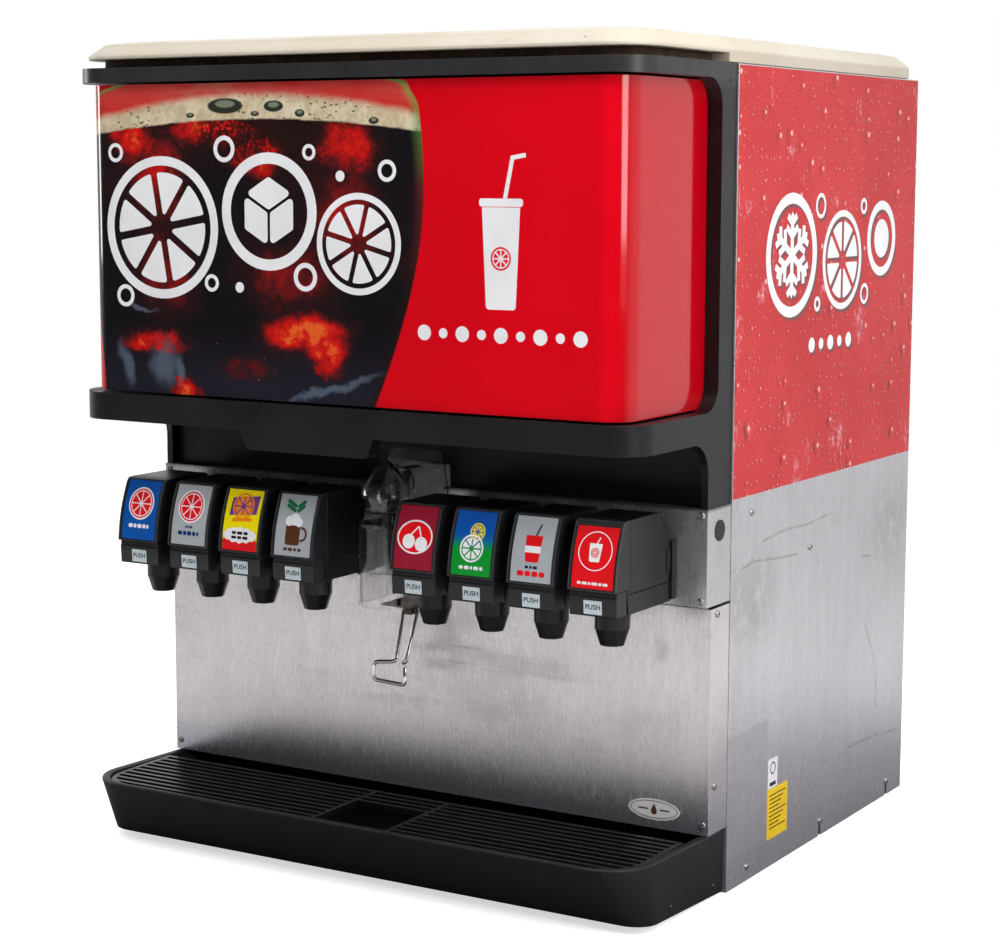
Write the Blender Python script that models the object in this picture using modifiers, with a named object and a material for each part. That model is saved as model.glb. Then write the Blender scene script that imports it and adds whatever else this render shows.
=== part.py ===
"""Counter-standing ice and drinks dispenser: a steel cabinet round an insulated ice hopper, a lit
merchandiser above eight push-button valves, an ice chute with a wire lever, and a drip tray.

Metres, +Z up. The datum empty stands on the counter, at the middle of the side panels' front edges, and
every number below is measured from it: +X right, +Y to the back. The datum itself is placed so that the
whole object's footprint is centred on the world origin.
"""

import math

import bmesh
import bpy
from mathutils import Matrix, Vector

# Overall sizes.
WIDTH = 0.762
PANEL_DEPTH = 0.540
PANEL_HEIGHT = 0.935
TRAY_REACH = 0.233
HALF = WIDTH / 2
DATUM = (0.0, (TRAY_REACH - PANEL_DEPTH) / 2, 0.0)

# Sheet metal and clearances.
SHEET = 0.0015
FLANGE = 0.018
GAP = 0.0005
REACH = 0.050  # how far a cutter runs past the wall that it cuts

# Cabinet.
REAR_INSET = 0.015
BASE_FLANGE = 0.025
BASE_SHEET = 0.002
REAR_FOOT = 0.004
SLOT_Y = (0.268, 0.488)
SLOT_WIDTH = 0.007
SLOT_TOP = 0.020
VENT_COUNT = 6
VENT_SIZE = (0.200, 0.008)
VENT_PITCH = 0.022
VENT_BASE = 0.400
GLAND_XZ = (0.250, 0.110)
GLAND_RADIUS = 0.010
GLAND_BORE = 0.004
HOLE_GAP = 0.001
ELECTRICS = ((-0.330, 0.020, 0.100), (-0.130, 0.120, 0.260))

# Hopper, its seal and what works inside it.
HOPPER_HALF = 0.350
HOPPER_Y = (0.030, 0.510)
HOPPER_BASE = 0.300
HOPPER_FLOOR = 0.345
HOPPER_WALL = 0.030
RIM_HALF = 0.372
RIM_Y = (0.004, 0.520)
RIM_Z = (PANEL_HEIGHT + GAP, 0.9405)
SEAL_Z = (0.9410, 0.9470)
SEAL_WIDTH = 0.020
PLUG_GAP = 0.005  # round the cold plate and the lid's plug, inside the hopper
COLD_PLATE_TOP = 0.380
SHAFT_Z = 0.620
SHAFT_RADIUS = 0.008
SHAFT_Y = (0.0105, 0.455)
ARM_LENGTH = 0.380
ARM_HALF_SIZE = (0.005, 0.007)
ARM_STATIONS = ((0.130, 0.0), (0.245, 60.0), (0.360, 120.0))
GEARBOX = ((-0.060, -0.040, 0.562), (0.060, 0.029, 0.682))
MOTOR_YZ = (-0.060, 0.630)
MOTOR_SIZE = (0.042, 0.052)  # radius and length
SOCKET_DEPTH = 0.021
MANIFOLD_YZ = (-0.035, 0.372)
MANIFOLD_SIZE = (0.008, 0.670)  # radius and length
STUB_RADIUS = 0.005
THROAT_HALF = 0.030
THROAT_Z = (0.402, 0.468)
THROAT_WALL = 0.006
THROAT_FRONT = -0.020

# Lid.
LID_HALF = 0.379
LID_Y = (-0.2245, 0.527)
LID_BASE = 0.9455
LID_CORNER = 0.020
LID_FRONT_CORNER = 0.053
LID_TAPER = ((0.0, 0.9455), (0.0, 0.9500), (0.0110, 0.9600), (0.0190, 0.9645), (0.1300, 0.9700))
SKIRT_FRONT = -0.020
SKIRT_BASE = 0.9362
SKIRT_WALL = 0.0045
LID_UNDERSIDE = 0.9480
LID_PLUG_Z = (0.9260, 0.9520)
REST_HALF = 0.360
REST_Y = (-0.207, -0.024)
REST_WIDTH = 0.012
REST_CORNER = 0.037

# Merchandiser.
FRAME_HALF = 0.379
FRAME_FRONT = -0.229
FRAME_BACK = -0.0006
FRAME_CORNER = 0.042
FRAME_TOP = 0.9355
WINDOW_Z = (0.557, 0.918)
WINDOW_BACK = -0.036
WINDOW_RADIUS = 0.030
COLUMN_INNER = 0.3615
SHELF_BASE = 0.524
TAB_TOP = (-0.136, 0.053)
TAB_FOOT = (-0.121, 0.044)
TAB_Z = (0.502, 0.530)
TAB_DEPTH = 0.020
TAB_CORNER = 0.006
CHEEK_FRONT = -0.058
CHEEK_RADIUS = 0.025
FRAME_BASE = 0.4508
APRON_FRONT = -0.046
APRON_WALL = 0.0035
APRON_HALF = 0.362
APRON_BACK_HALF = 0.350
APRON_BACK_TOP = 0.545
PANEL_HALF = 0.3610
PANEL_FRONT = -0.222
PANEL_BACK = -0.024
PANEL_RADIUS = 0.034
PANEL_SKIN = 0.003
PANEL_GAP = 0.002
REFLECTOR_HALF = 0.310
REFLECTOR_Y = (-0.165, -0.092)
REFLECTOR_Z = (0.570, 0.900)
LAMP_RADIUS = 0.013
LAMP_YZ = (-0.142, 0.735)

# Steel front.
FRONT_HALF = 0.380
FRONT_BACK = -0.0006
VALVE_PANEL_FRONT = -0.0603
VALVE_PANEL_Z = (0.3405, 0.4505)
SPLASH_FRONT = -0.0472
SPLASH_Z = (0.0778, 0.3370)
NOTCH_GAP = 0.003  # round the throat and the gate
PLUG_YZ = (-0.0294, 0.4238)
PLUG_HEAD = 0.0120
PLUG_BODY = 0.0096
PLUG_DEPTH = 0.0060

# Drip tray and cup grid.
TRAY_BACK = -0.001
TRAY_HALF = 0.378
TRAY_FOOT_HALF = 0.376
TRAY_FOOT_FRONT = -0.190
TRAY_FOOT_RISE = 0.0088
TRAY_RIM_FRONT_Z = 0.082
TRAY_RIM_BACK_Z = 0.0760
TRAY_CORNER = 0.060
TRAY_FOOT_CORNER = 0.028
TRAY_INNER_CORNER = 0.050
TRAY_BACK_WALL = 0.006
TRAY_FLOOR = (0.3560, -0.1780)
GRID_HALF = 0.366
GRID_Y = (-0.222, -0.080)
GRID_Z = (0.0705, 0.0775)
GRID_BORDER = 0.006
GRID_BAR = 0.0055
GRID_ROWS = 10
GRID_WELL_ROWS = 7
GRID_CORNER = 0.048
GRID_BAY = (-0.045, 0.058)  # the bay under the ice chute, which has bars only at its back
DRAIN_XZ = (-0.300, 0.020)
DRAIN_RADIUS = 0.011
DRAIN_WALL = 0.003
DRAIN_END = 0.533

# Ice chute, gate and lever.
CHUTE_BACK = -0.0608
CHUTE_PLATE = 0.0022
CHUTE_PLATE_HALF = 0.0435
CHUTE_PLATE_TOP_HALF = 0.0368
CHUTE_SHOULDER = 0.448
CHUTE_BASE = 0.318
CHUTE_TOP = 0.493
CHUTE_WALL = 0.0022
# The chute's channel as (half width, front, height), and the dome on it as (radius, height).
CHUTE_CHANNEL = (
    (0.0335, -0.1580, CHUTE_BASE),
    (0.0350, -0.1610, 0.4120),
    (0.0360, -0.1620, 0.4130),
    (0.0350, -0.1610, 0.4160),
    (0.0290, -0.1555, 0.4200),
    (0.0290, -0.1555, 0.4290),
    (0.0240, -0.1500, 0.4320),
)
CHUTE_DOME = (
    (0.0262, 0.4240),
    (0.0262, 0.4300),
    (0.0285, 0.4440),
    (0.0285, 0.4490),
    (0.0255, 0.4580),
    (0.0210, 0.4670),
    (0.0155, 0.4750),
    (0.0090, 0.4820),
    (0.0035, 0.4870),
)
CHUTE_DOME_Y = -0.1270
CHUTE_ARCH_HALF = 0.0215
CHUTE_ARCH_FRONT = -0.100
CHUTE_ARCH_Z = (0.4220, 0.4745)
CHUTE_ARCH_CORNER = 0.018
GATE_Y = (-0.0250, -0.0225)
GATE_HALF = 0.034
GATE_Z = (0.398, 0.472)
BRACKET_HALF = 0.028
BRACKET_FRONT = -0.098
BRACKET_Z = (0.3105, 0.3127)
BRACKET_FLANGE_Z = (0.3000, 0.3350)
WIRE_RADIUS = 0.0024
WIRE_BEND = 0.0058
LEVER_PIVOT = (0.0, -0.076, 0.304)

# Valves.
VALVE_PITCH = 0.0762
VALVE_FIRST = 0.0830
VALVE_X = tuple(
    side * (VALVE_FIRST + VALVE_PITCH * step)
    for side, steps in ((-1, (3, 2, 1, 0)), (1, (0, 1, 2, 3)))
    for step in steps
)
VALVE_HALF = 0.029
VALVE_WALL = 0.0025
VALVE_FLANGE = 0.0108
SEAM_GAP = 0.0002
VALVE_BASE = 0.347
VALVE_SEAM = 0.369
VALVE_FACE = (-0.1685, -0.1722)  # the block's raked front: at its foot and at the seam
FLANGE_HALF = 0.0314
FLANGE_Z = (0.349, 0.413)
COILS = ((-0.020, -0.150, 0.360), (0.020, -0.090, 0.428))
COVER_TOP = 0.4498
COVER_FRONT = (-0.1990, -0.1810)  # at the foot and at the head of the card's face
COVER_HEAD_Z = 0.4450
COVER_BOW = 0.0035
COVER_BACK = (-0.0722, 0.4110)
COVER_REAR_TOP = -0.1000
BUTTON_TOP = 0.3742
BUTTON_FRONT = -0.1965
BUTTON_BACK = -0.1728
BUTTON_PIVOT = (-0.1760, 0.3725)
NOZZLE_Y = -0.151
NOZZLE_TOP = 0.3465

# Finishes: colour, roughness, metallic.
FINISHES = {
    "steel": ((0.56, 0.56, 0.58), 0.35, 1.0),
    "galvanised": ((0.45, 0.47, 0.49), 0.50, 1.0),
    "aluminium": ((0.72, 0.73, 0.75), 0.40, 1.0),
    "brass": ((0.58, 0.43, 0.18), 0.40, 1.0),
    "black_plastic": ((0.022, 0.022, 0.025), 0.45, 0.0),
    "cream_plastic": ((0.73, 0.68, 0.58), 0.45, 0.0),
    "white_plastic": ((0.80, 0.80, 0.78), 0.50, 0.0),
    "clear_plastic": ((0.80, 0.82, 0.84), 0.12, 0.0),
    "red_panel": ((0.65, 0.01, 0.02), 0.15, 0.0),
    "foam": ((0.09, 0.05, 0.03), 0.90, 0.0),
    "lamp_glass": ((0.92, 0.93, 0.95), 0.20, 0.0),
}

# Local axes of a flat outline: which way its own X, Y and Z point.
PLANES = {
    "XY": Matrix.Identity(3),
    "YZ": Matrix(((0, 0, 1), (1, 0, 0), (0, 1, 0))),
    "XZ": Matrix(((1, 0, 0), (0, 0, -1), (0, 1, 0))),
}
NORMALS = {"XY": (0, 0, 1), "YZ": (1, 0, 0), "XZ": (0, 1, 0)}
ALONG = {"X": "YZ", "Y": "XZ", "Z": "XY"}


def new_collection(name):
    made = bpy.data.collections.new(name)
    bpy.context.scene.collection.children.link(made)
    return made


for old in list(bpy.data.objects):
    bpy.data.objects.remove(old)
PARTS = new_collection("soda_dispenser")
CUTTERS = new_collection("cutters")
datum = bpy.data.objects.new("datum", None)
datum.location = DATUM
PARTS.objects.link(datum)


# --- placing things ---


def principled(name, finish):
    colour, roughness, metallic = FINISHES[finish]
    material = bpy.data.materials.new(name)
    material.use_nodes = True
    shader = material.node_tree.nodes["Principled BSDF"]
    shader.inputs["Base Color"].default_value = (*colour, 1.0)
    shader.inputs["Roughness"].default_value = roughness
    shader.inputs["Metallic"].default_value = metallic
    material.diffuse_color = (*colour, 1.0)
    return material


def place(name, mesh, location=(0, 0, 0), rotation=None, finish=None):
    """A part where a finish is given, or else a cutter."""
    obj = bpy.data.objects.new(name, mesh)
    obj.parent = datum
    obj.location = location
    if rotation is not None:
        obj.rotation_euler = rotation.to_euler()
    if finish:
        mesh.materials.append(principled(name, finish))
        PARTS.objects.link(obj)
    else:
        CUTTERS.objects.link(obj)
        obj.hide_render = True
        obj.display_type = "WIRE"
    return obj


def hang(obj, name, location):
    """Parents obj to an empty on its joint's axis, and leaves it where it is."""
    pivot = bpy.data.objects.new(name, None)
    pivot.parent = datum
    pivot.location = location
    PARTS.objects.link(pivot)
    obj.parent = pivot
    obj.matrix_parent_inverse = pivot.matrix_basis.inverted()
    return obj


def combine(target, other, operation):
    modifier = target.modifiers.new(f"{operation.lower()}_{other.name}", "BOOLEAN")
    modifier.operation = operation
    modifier.solver = "EXACT"
    modifier.object = other


def cut(target, *cutters):
    for cutter in cutters:
        combine(target, cutter, "DIFFERENCE")


def join(target, *additions):
    for addition in additions:
        combine(target, addition, "UNION")


def shade_round(mesh, degrees=35):
    mesh.shade_smooth()
    mesh.set_sharp_from_angle(angle=math.radians(degrees))


# --- shapes ---


def mesh_of(bm, name):
    mesh = bpy.data.meshes.new(name)
    bm.to_mesh(mesh)
    bm.free()
    return mesh


def box(name, low, high, finish=None, edge=0.0):
    """A block from its lowest to its highest corner, with its edges rounded by edge."""
    size = [top - bottom for bottom, top in zip(low, high)]
    middle = [(bottom + top) / 2 for bottom, top in zip(low, high)]
    bm = bmesh.new()
    bmesh.ops.create_cube(bm, size=1.0, matrix=Matrix.Diagonal((*size, 1.0)))
    obj = place(name, mesh_of(bm, name), middle, finish=finish)
    if edge:
        rounding = obj.modifiers.new("rounding", "BEVEL")
        rounding.width = edge
        rounding.segments = 2
    return obj


def folded(name, low, high, open_sides, finish, thickness=SHEET):
    """Sheet metal folded round the box from low to high, without its open sides such as "+Y"."""
    obj = box(name, low, high, finish)
    bm = bmesh.new()
    bm.from_mesh(obj.data)
    named = {"X": 0, "Y": 1, "Z": 2}
    gone = []
    for side in open_sides:
        sign = 1 if side[0] == "+" else -1
        gone += [face for face in bm.faces if face.normal[named[side[1]]] * sign > 0.5]
    bmesh.ops.delete(bm, geom=gone, context="FACES")
    bm.to_mesh(obj.data)
    bm.free()
    skin = obj.modifiers.new("sheet", "SOLIDIFY")
    skin.thickness = thickness
    skin.offset = -1
    skin.use_even_offset = True
    return obj


def rod(name, axis, centre, radius, length, finish=None, sides=16):
    bm = bmesh.new()
    bmesh.ops.create_cone(
        bm, cap_ends=True, segments=sides, radius1=radius, radius2=radius, depth=length
    )
    mesh = mesh_of(bm, name)
    shade_round(mesh)
    return place(name, mesh, centre, PLANES[ALONG[axis]], finish)


def turned(name, profile, centre, axis, finish=None, steps=16):
    """A (radius, height) profile, top to bottom, turned about the axis. Its heights run along the axis."""
    bm = bmesh.new()
    points = [bm.verts.new((radius, 0, height)) for radius, height in profile]
    for first, second in zip(points, points[1:]):
        bm.edges.new((first, second))
    turn = Matrix.Rotation(-math.pi / 2, 3, "X") if axis == "Y" else None
    obj = place(name, mesh_of(bm, name), centre, turn, finish)
    screw = obj.modifiers.new("turning", "SCREW")
    screw.steps = steps
    screw.render_steps = steps
    screw.use_merge_vertices = True
    screw.merge_threshold = 0.00005
    screw.use_smooth_shade = True
    return obj


def rounded(corners, steps=5):
    """The outline through (x, y, radius) corners, each with a radius turned into an arc."""
    points = []
    for index, (x, y, radius) in enumerate(corners):
        corner = Vector((x, y))
        if not radius:
            points.append((x, y))
            continue
        before = (Vector(corners[index - 1][:2]) - corner).normalized()
        after = (Vector(corners[(index + 1) % len(corners)][:2]) - corner).normalized()
        half = before.angle(after) / 2
        centre = corner + (before + after).normalized() * radius / math.sin(half)
        first = corner + before * radius / math.tan(half) - centre
        last = corner + after * radius / math.tan(half) - centre
        start = math.atan2(first.y, first.x)
        sweep = math.atan2(last.y, last.x) - start
        sweep = (sweep + math.pi) % math.tau - math.pi
        for step in range(steps + 1):
            angle = start + sweep * step / steps
            points.append((centre.x + radius * math.cos(angle), centre.y + radius * math.sin(angle)))
    return points


def welded(curve, name):
    """The closed mesh of a curve, with its loose caps welded on and its flat faces made whole."""
    source = bpy.data.objects.new(name, curve)
    bpy.context.scene.collection.objects.link(source)
    shape = source.evaluated_get(bpy.context.evaluated_depsgraph_get())
    mesh = bpy.data.meshes.new_from_object(shape)
    bpy.data.objects.remove(source)
    mesh.materials.clear()
    bm = bmesh.new()
    bm.from_mesh(mesh)
    bmesh.ops.remove_doubles(bm, verts=bm.verts, dist=0.00001)
    bmesh.ops.dissolve_limit(bm, angle_limit=0.001, verts=bm.verts, edges=bm.edges)
    bmesh.ops.recalc_face_normals(bm, faces=bm.faces)
    bm.to_mesh(mesh)
    bm.free()
    return mesh


def prism(name, plane, outline, start, end, finish=None):
    """A flat outline in the plane, made thick from start to end across it."""
    curve = bpy.data.curves.new(name, "CURVE")
    curve.dimensions = "2D"
    curve.fill_mode = "BOTH"
    curve.extrude = abs(end - start) / 2
    spline = curve.splines.new("POLY")
    spline.points.add(len(outline) - 1)
    for point, (across, up) in zip(spline.points, outline):
        point.co = (across, up, 0.0, 1.0)
    spline.use_cyclic_u = True
    middle = Vector(NORMALS[plane]) * (start + end) / 2
    return place(name, welded(curve, name), middle, PLANES[plane], finish)


def wire(name, route, radius, finish=None):
    """A round bar along a route."""
    curve = bpy.data.curves.new(name, "CURVE")
    curve.dimensions = "3D"
    curve.bevel_depth = radius
    curve.bevel_resolution = 2
    curve.use_fill_caps = True
    spline = curve.splines.new("POLY")
    spline.points.add(len(route) - 1)
    for point, position in zip(spline.points, route):
        point.co = (*position, 1.0)
    mesh = welded(curve, name)
    shade_round(mesh, 50)
    return place(name, mesh, finish=finish)


def bent(corners, radius, steps=4):
    """The route through corners, each inner one turned into a smooth bend."""
    route = [Vector(corners[0])]
    for before, corner, after in zip(corners, corners[1:], corners[2:]):
        corner = Vector(corner)
        start = corner + (Vector(before) - corner).normalized() * radius
        end = corner + (Vector(after) - corner).normalized() * radius
        for step in range(steps + 1):
            t = step / steps
            route.append(start.lerp(corner, t).lerp(corner.lerp(end, t), t))
    route.append(Vector(corners[-1]))
    return route


def loft(name, rings, finish=None):
    """A closed solid through rings of equally many points, with flat ends."""
    bm = bmesh.new()
    loops = [[bm.verts.new(point) for point in ring] for ring in rings]
    for lower, upper in zip(loops, loops[1:]):
        for index in range(len(lower)):
            after = (index + 1) % len(lower)
            bm.faces.new((lower[index], lower[after], upper[after], upper[index]))
    bm.faces.new(loops[0])
    bm.faces.new(loops[-1])
    bmesh.ops.recalc_face_normals(bm, faces=bm.faces)
    mesh = mesh_of(bm, name)
    shade_round(mesh)
    return place(name, mesh, finish=finish)


# --- cabinet ---


def side_panel(name, side):
    inner, outer = sorted((side * (HALF - FLANGE), side * HALF))
    open_sides = ("-X" if side > 0 else "+X", "-Z")
    panel = folded(name, (inner, 0, 0), (outer, PANEL_DEPTH, PANEL_HEIGHT), open_sides, "steel")
    for number, y in enumerate(SLOT_Y, 1):
        low = (side * HALF - SHEET * 3, y - SLOT_WIDTH / 2, -REACH)
        high = (side * HALF + SHEET * 3, y + SLOT_WIDTH / 2, SLOT_TOP)
        cut(panel, box(f"{name}_slot_{number}", low, high))


def base_pan():
    half = HALF - SHEET - GAP * 2
    low = (-half, SHEET + GAP * 2, 0)
    high = (half, PANEL_DEPTH - REAR_INSET - SHEET - GAP * 2, BASE_FLANGE)
    folded("base_pan", low, high, ("+Z", "-Y", "+Y"), "galvanised", BASE_SHEET)


def rear_panel():
    """Set in from the side panels' back flanges, so that the gland stays inside the cabinet's depth."""
    front = PANEL_DEPTH - REAR_INSET - SHEET
    half = HALF - SHEET - GAP
    top = PANEL_HEIGHT - SHEET * 2
    panel = box("rear_panel", (-half, front, REAR_FOOT), (half, front + SHEET, top), "steel")
    vents = box(
        "vents",
        (-VENT_SIZE[0] / 2, front - REACH, VENT_BASE),
        (VENT_SIZE[0] / 2, front + REACH, VENT_BASE + VENT_SIZE[1]),
    )
    repeat(vents, VENT_COUNT, (0, 0, VENT_PITCH))
    middle = front + SHEET / 2
    gland = rod("gland_hole", "Y", (GLAND_XZ[0], middle, GLAND_XZ[1]), GLAND_RADIUS + GAP, REACH)
    drain = rod("drain_hole", "Y", (DRAIN_XZ[0], middle, DRAIN_XZ[1]), DRAIN_RADIUS + HOLE_GAP, REACH)
    cut(panel, vents, gland, drain)


def repeat(obj, count, step):
    array = obj.modifiers.new("repeat", "ARRAY")
    array.count = count
    array.use_relative_offset = False
    array.use_constant_offset = True
    array.constant_offset_displace = step


def cable_gland():
    """The mains lead's gland, in the rear panel. Its bore is open right through."""
    nut = GLAND_RADIUS + 0.004
    tip, shoulder, washer, end = 0.0100, 0.0070, 0.0010, -0.0120
    profile = [
        (GLAND_BORE, tip),
        (GLAND_RADIUS * 0.75, tip),
        (nut, shoulder),
        (nut, washer),
        (GLAND_RADIUS, washer),
        (GLAND_RADIUS, end),
        (GLAND_BORE, end),
        (GLAND_BORE, tip),
    ]
    back = PANEL_DEPTH - REAR_INSET
    turned("cable_gland", profile, (GLAND_XZ[0], back, GLAND_XZ[1]), "Y", "black_plastic", 12)


def electrical_box():
    box("electrical_box", *ELECTRICS, "galvanised", 0.003)


# --- hopper ---


def ice_hopper():
    front, back = HOPPER_Y
    body_top = (RIM_Z[0] + RIM_Z[1]) / 2
    hopper = box(
        "ice_hopper", (-HOPPER_HALF, front, HOPPER_BASE), (HOPPER_HALF, back, body_top), "white_plastic"
    )
    rim = box("hopper_rim", (-RIM_HALF, RIM_Y[0], RIM_Z[0]), (RIM_HALF, RIM_Y[1], RIM_Z[1]))
    inner = HOPPER_HALF - HOPPER_WALL
    hollow = box(
        "hopper_hollow",
        (-inner, front + HOPPER_WALL, HOPPER_FLOOR),
        (inner, back - HOPPER_WALL, RIM_Z[1] + REACH),
    )
    outer = THROAT_HALF + THROAT_WALL
    throat = box(
        "throat",
        (-outer, THROAT_FRONT, THROAT_Z[0] - THROAT_WALL),
        (outer, front + THROAT_WALL, THROAT_Z[1] + THROAT_WALL),
    )
    passage = box(
        "throat_passage",
        (-THROAT_HALF, THROAT_FRONT - REACH, THROAT_Z[0]),
        (THROAT_HALF, front + HOPPER_WALL + REACH, THROAT_Z[1]),
    )
    shaft = rod("shaft_hole", "Y", (0, front, SHAFT_Z), SHAFT_RADIUS + HOLE_GAP, REACH * 2)
    join(hopper, rim)
    cut(hopper, hollow)
    join(hopper, throat)
    cut(hopper, passage, shaft)


def hopper_gasket():
    """A foam ring on the hopper's rim, under the lid."""
    half = RIM_HALF - GAP * 4
    low = (-half, RIM_Y[0] + GAP * 4, SEAL_Z[0])
    high = (half, RIM_Y[1] - GAP * 4, SEAL_Z[1])
    ring = box("hopper_gasket", low, high, "foam")
    hole_low = (low[0] + SEAL_WIDTH, low[1] + SEAL_WIDTH, low[2] - REACH)
    hole_high = (high[0] - SEAL_WIDTH, high[1] - SEAL_WIDTH, high[2] + REACH)
    cut(ring, box("gasket_hole", hole_low, hole_high))


def cold_plate():
    inner = HOPPER_HALF - HOPPER_WALL - PLUG_GAP
    low = (-inner, HOPPER_Y[0] + HOPPER_WALL + PLUG_GAP, HOPPER_FLOOR + GAP)
    high = (inner, HOPPER_Y[1] - HOPPER_WALL - PLUG_GAP, COLD_PLATE_TOP)
    box("cold_plate", low, high, "aluminium", 0.004)


def agitator():
    """A shaft with three stirring bars, each turned further than the one before."""
    length = SHAFT_Y[1] - SHAFT_Y[0]
    middle = (0, (SHAFT_Y[0] + SHAFT_Y[1]) / 2, SHAFT_Z)
    shaft = rod("agitator", "Y", middle, SHAFT_RADIUS, length, "steel", 12)
    half = ARM_LENGTH / 2
    across, along = ARM_HALF_SIZE
    for number, (y, degrees) in enumerate(ARM_STATIONS, 1):
        low = (-across, y - along, SHAFT_Z - half)
        high = (across, y + along, SHAFT_Z + half)
        bar = box(f"agitator_bar_{number}", low, high)
        bar.rotation_euler = (0, math.radians(degrees), 0)
        join(shaft, bar)
    hang(shaft, "agitator_axis", middle)


def gear_motor():
    """The agitator's gearbox, with the motor on its front and a socket for the shaft in its back."""
    gearbox = box("gear_motor", *GEARBOX, "aluminium", 0.006)
    motor = rod("motor_can", "Y", (0, *MOTOR_YZ), *MOTOR_SIZE, sides=24)
    mouth = (0, GEARBOX[1][1], SHAFT_Z)
    socket = rod("shaft_socket", "Y", mouth, SHAFT_RADIUS + GAP, SOCKET_DEPTH * 2)
    join(gearbox, motor)
    cut(gearbox, socket)


def product_manifold():
    """The pipe behind the valve panel that feeds the valves, with a stub for each."""
    y, z = MANIFOLD_YZ
    pipe = rod("product_manifold", "X", (0, y, z), *MANIFOLD_SIZE, "steel", 12)
    end = VALVE_PANEL_FRONT + SHEET + GAP
    for side in (-1, 1):
        first = min(side * VALVE_FIRST, side * (VALVE_FIRST + 3 * VALVE_PITCH))
        stubs = rod(f"stubs_{side}", "Y", (first, (y + end) / 2, z), STUB_RADIUS, y - end, sides=8)
        repeat(stubs, 4, (VALVE_PITCH, 0, 0))
        join(pipe, stubs)


# --- lid ---


def lid_ring(inset, z):
    """The lid's outline in plan, drawn in by inset, at one height."""
    half, front, back = LID_HALF - inset, LID_Y[0] + inset, LID_Y[1] - inset
    corners = (
        (-half, back, LID_CORNER),
        (-half, front, LID_FRONT_CORNER),
        (half, front, LID_FRONT_CORNER),
        (half, back, LID_CORNER),
    )
    return [(x, y, z) for x, y in rounded(corners, 6)]


def lid():
    """A tapered, slightly crowned slab. Its back part has a skirt round the hopper's rim, and a plug."""
    front, back = LID_Y
    slab = loft("lid", [lid_ring(inset, z) for inset, z in LID_TAPER], "cream_plastic")
    skirt_corners = ((-LID_HALF, back), (-LID_HALF, SKIRT_FRONT), (LID_HALF, SKIRT_FRONT), (LID_HALF, back))
    radii = (LID_CORNER, 0, 0, LID_CORNER)
    outline = rounded([(*corner, radius) for corner, radius in zip(skirt_corners, radii)], 4)
    skirt = prism("lid_skirt", "XY", outline, SKIRT_BASE, LID_UNDERSIDE + 0.001)
    inner = LID_HALF - SKIRT_WALL
    cavity = box(
        "lid_cavity",
        (-inner, SKIRT_FRONT + SKIRT_WALL, SKIRT_BASE - REACH),
        (inner, back - SKIRT_WALL, LID_UNDERSIDE),
    )
    plug_half = HOPPER_HALF - HOPPER_WALL - PLUG_GAP
    plug = box(
        "lid_plug",
        (-plug_half, HOPPER_Y[0] + HOPPER_WALL + PLUG_GAP, LID_PLUG_Z[0]),
        (plug_half, HOPPER_Y[1] - HOPPER_WALL - PLUG_GAP, LID_PLUG_Z[1]),
    )
    join(slab, skirt)
    cut(slab, cavity)
    join(slab, plug)
    hang(slab, "lid_lift_axis", (0, (front + back) / 2, LID_BASE))


def lid_rest_strip():
    """The foam strip on the merchandiser's top, round three sides, that the lid's front part rests on."""
    half, width = REST_HALF, REST_WIDTH
    front, back = REST_Y
    inner_corner = REST_CORNER - width
    corners = (
        (-half, back, 0),
        (-half, front, REST_CORNER),
        (half, front, REST_CORNER),
        (half, back, 0),
        (half - width, back, 0),
        (half - width, front + width, inner_corner),
        (-half + width, front + width, inner_corner),
        (-half + width, back, 0),
    )
    prism("lid_rest_strip", "XY", rounded(corners, 4), FRAME_TOP + GAP, LID_BASE - GAP, "foam")


# --- merchandiser ---


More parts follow.
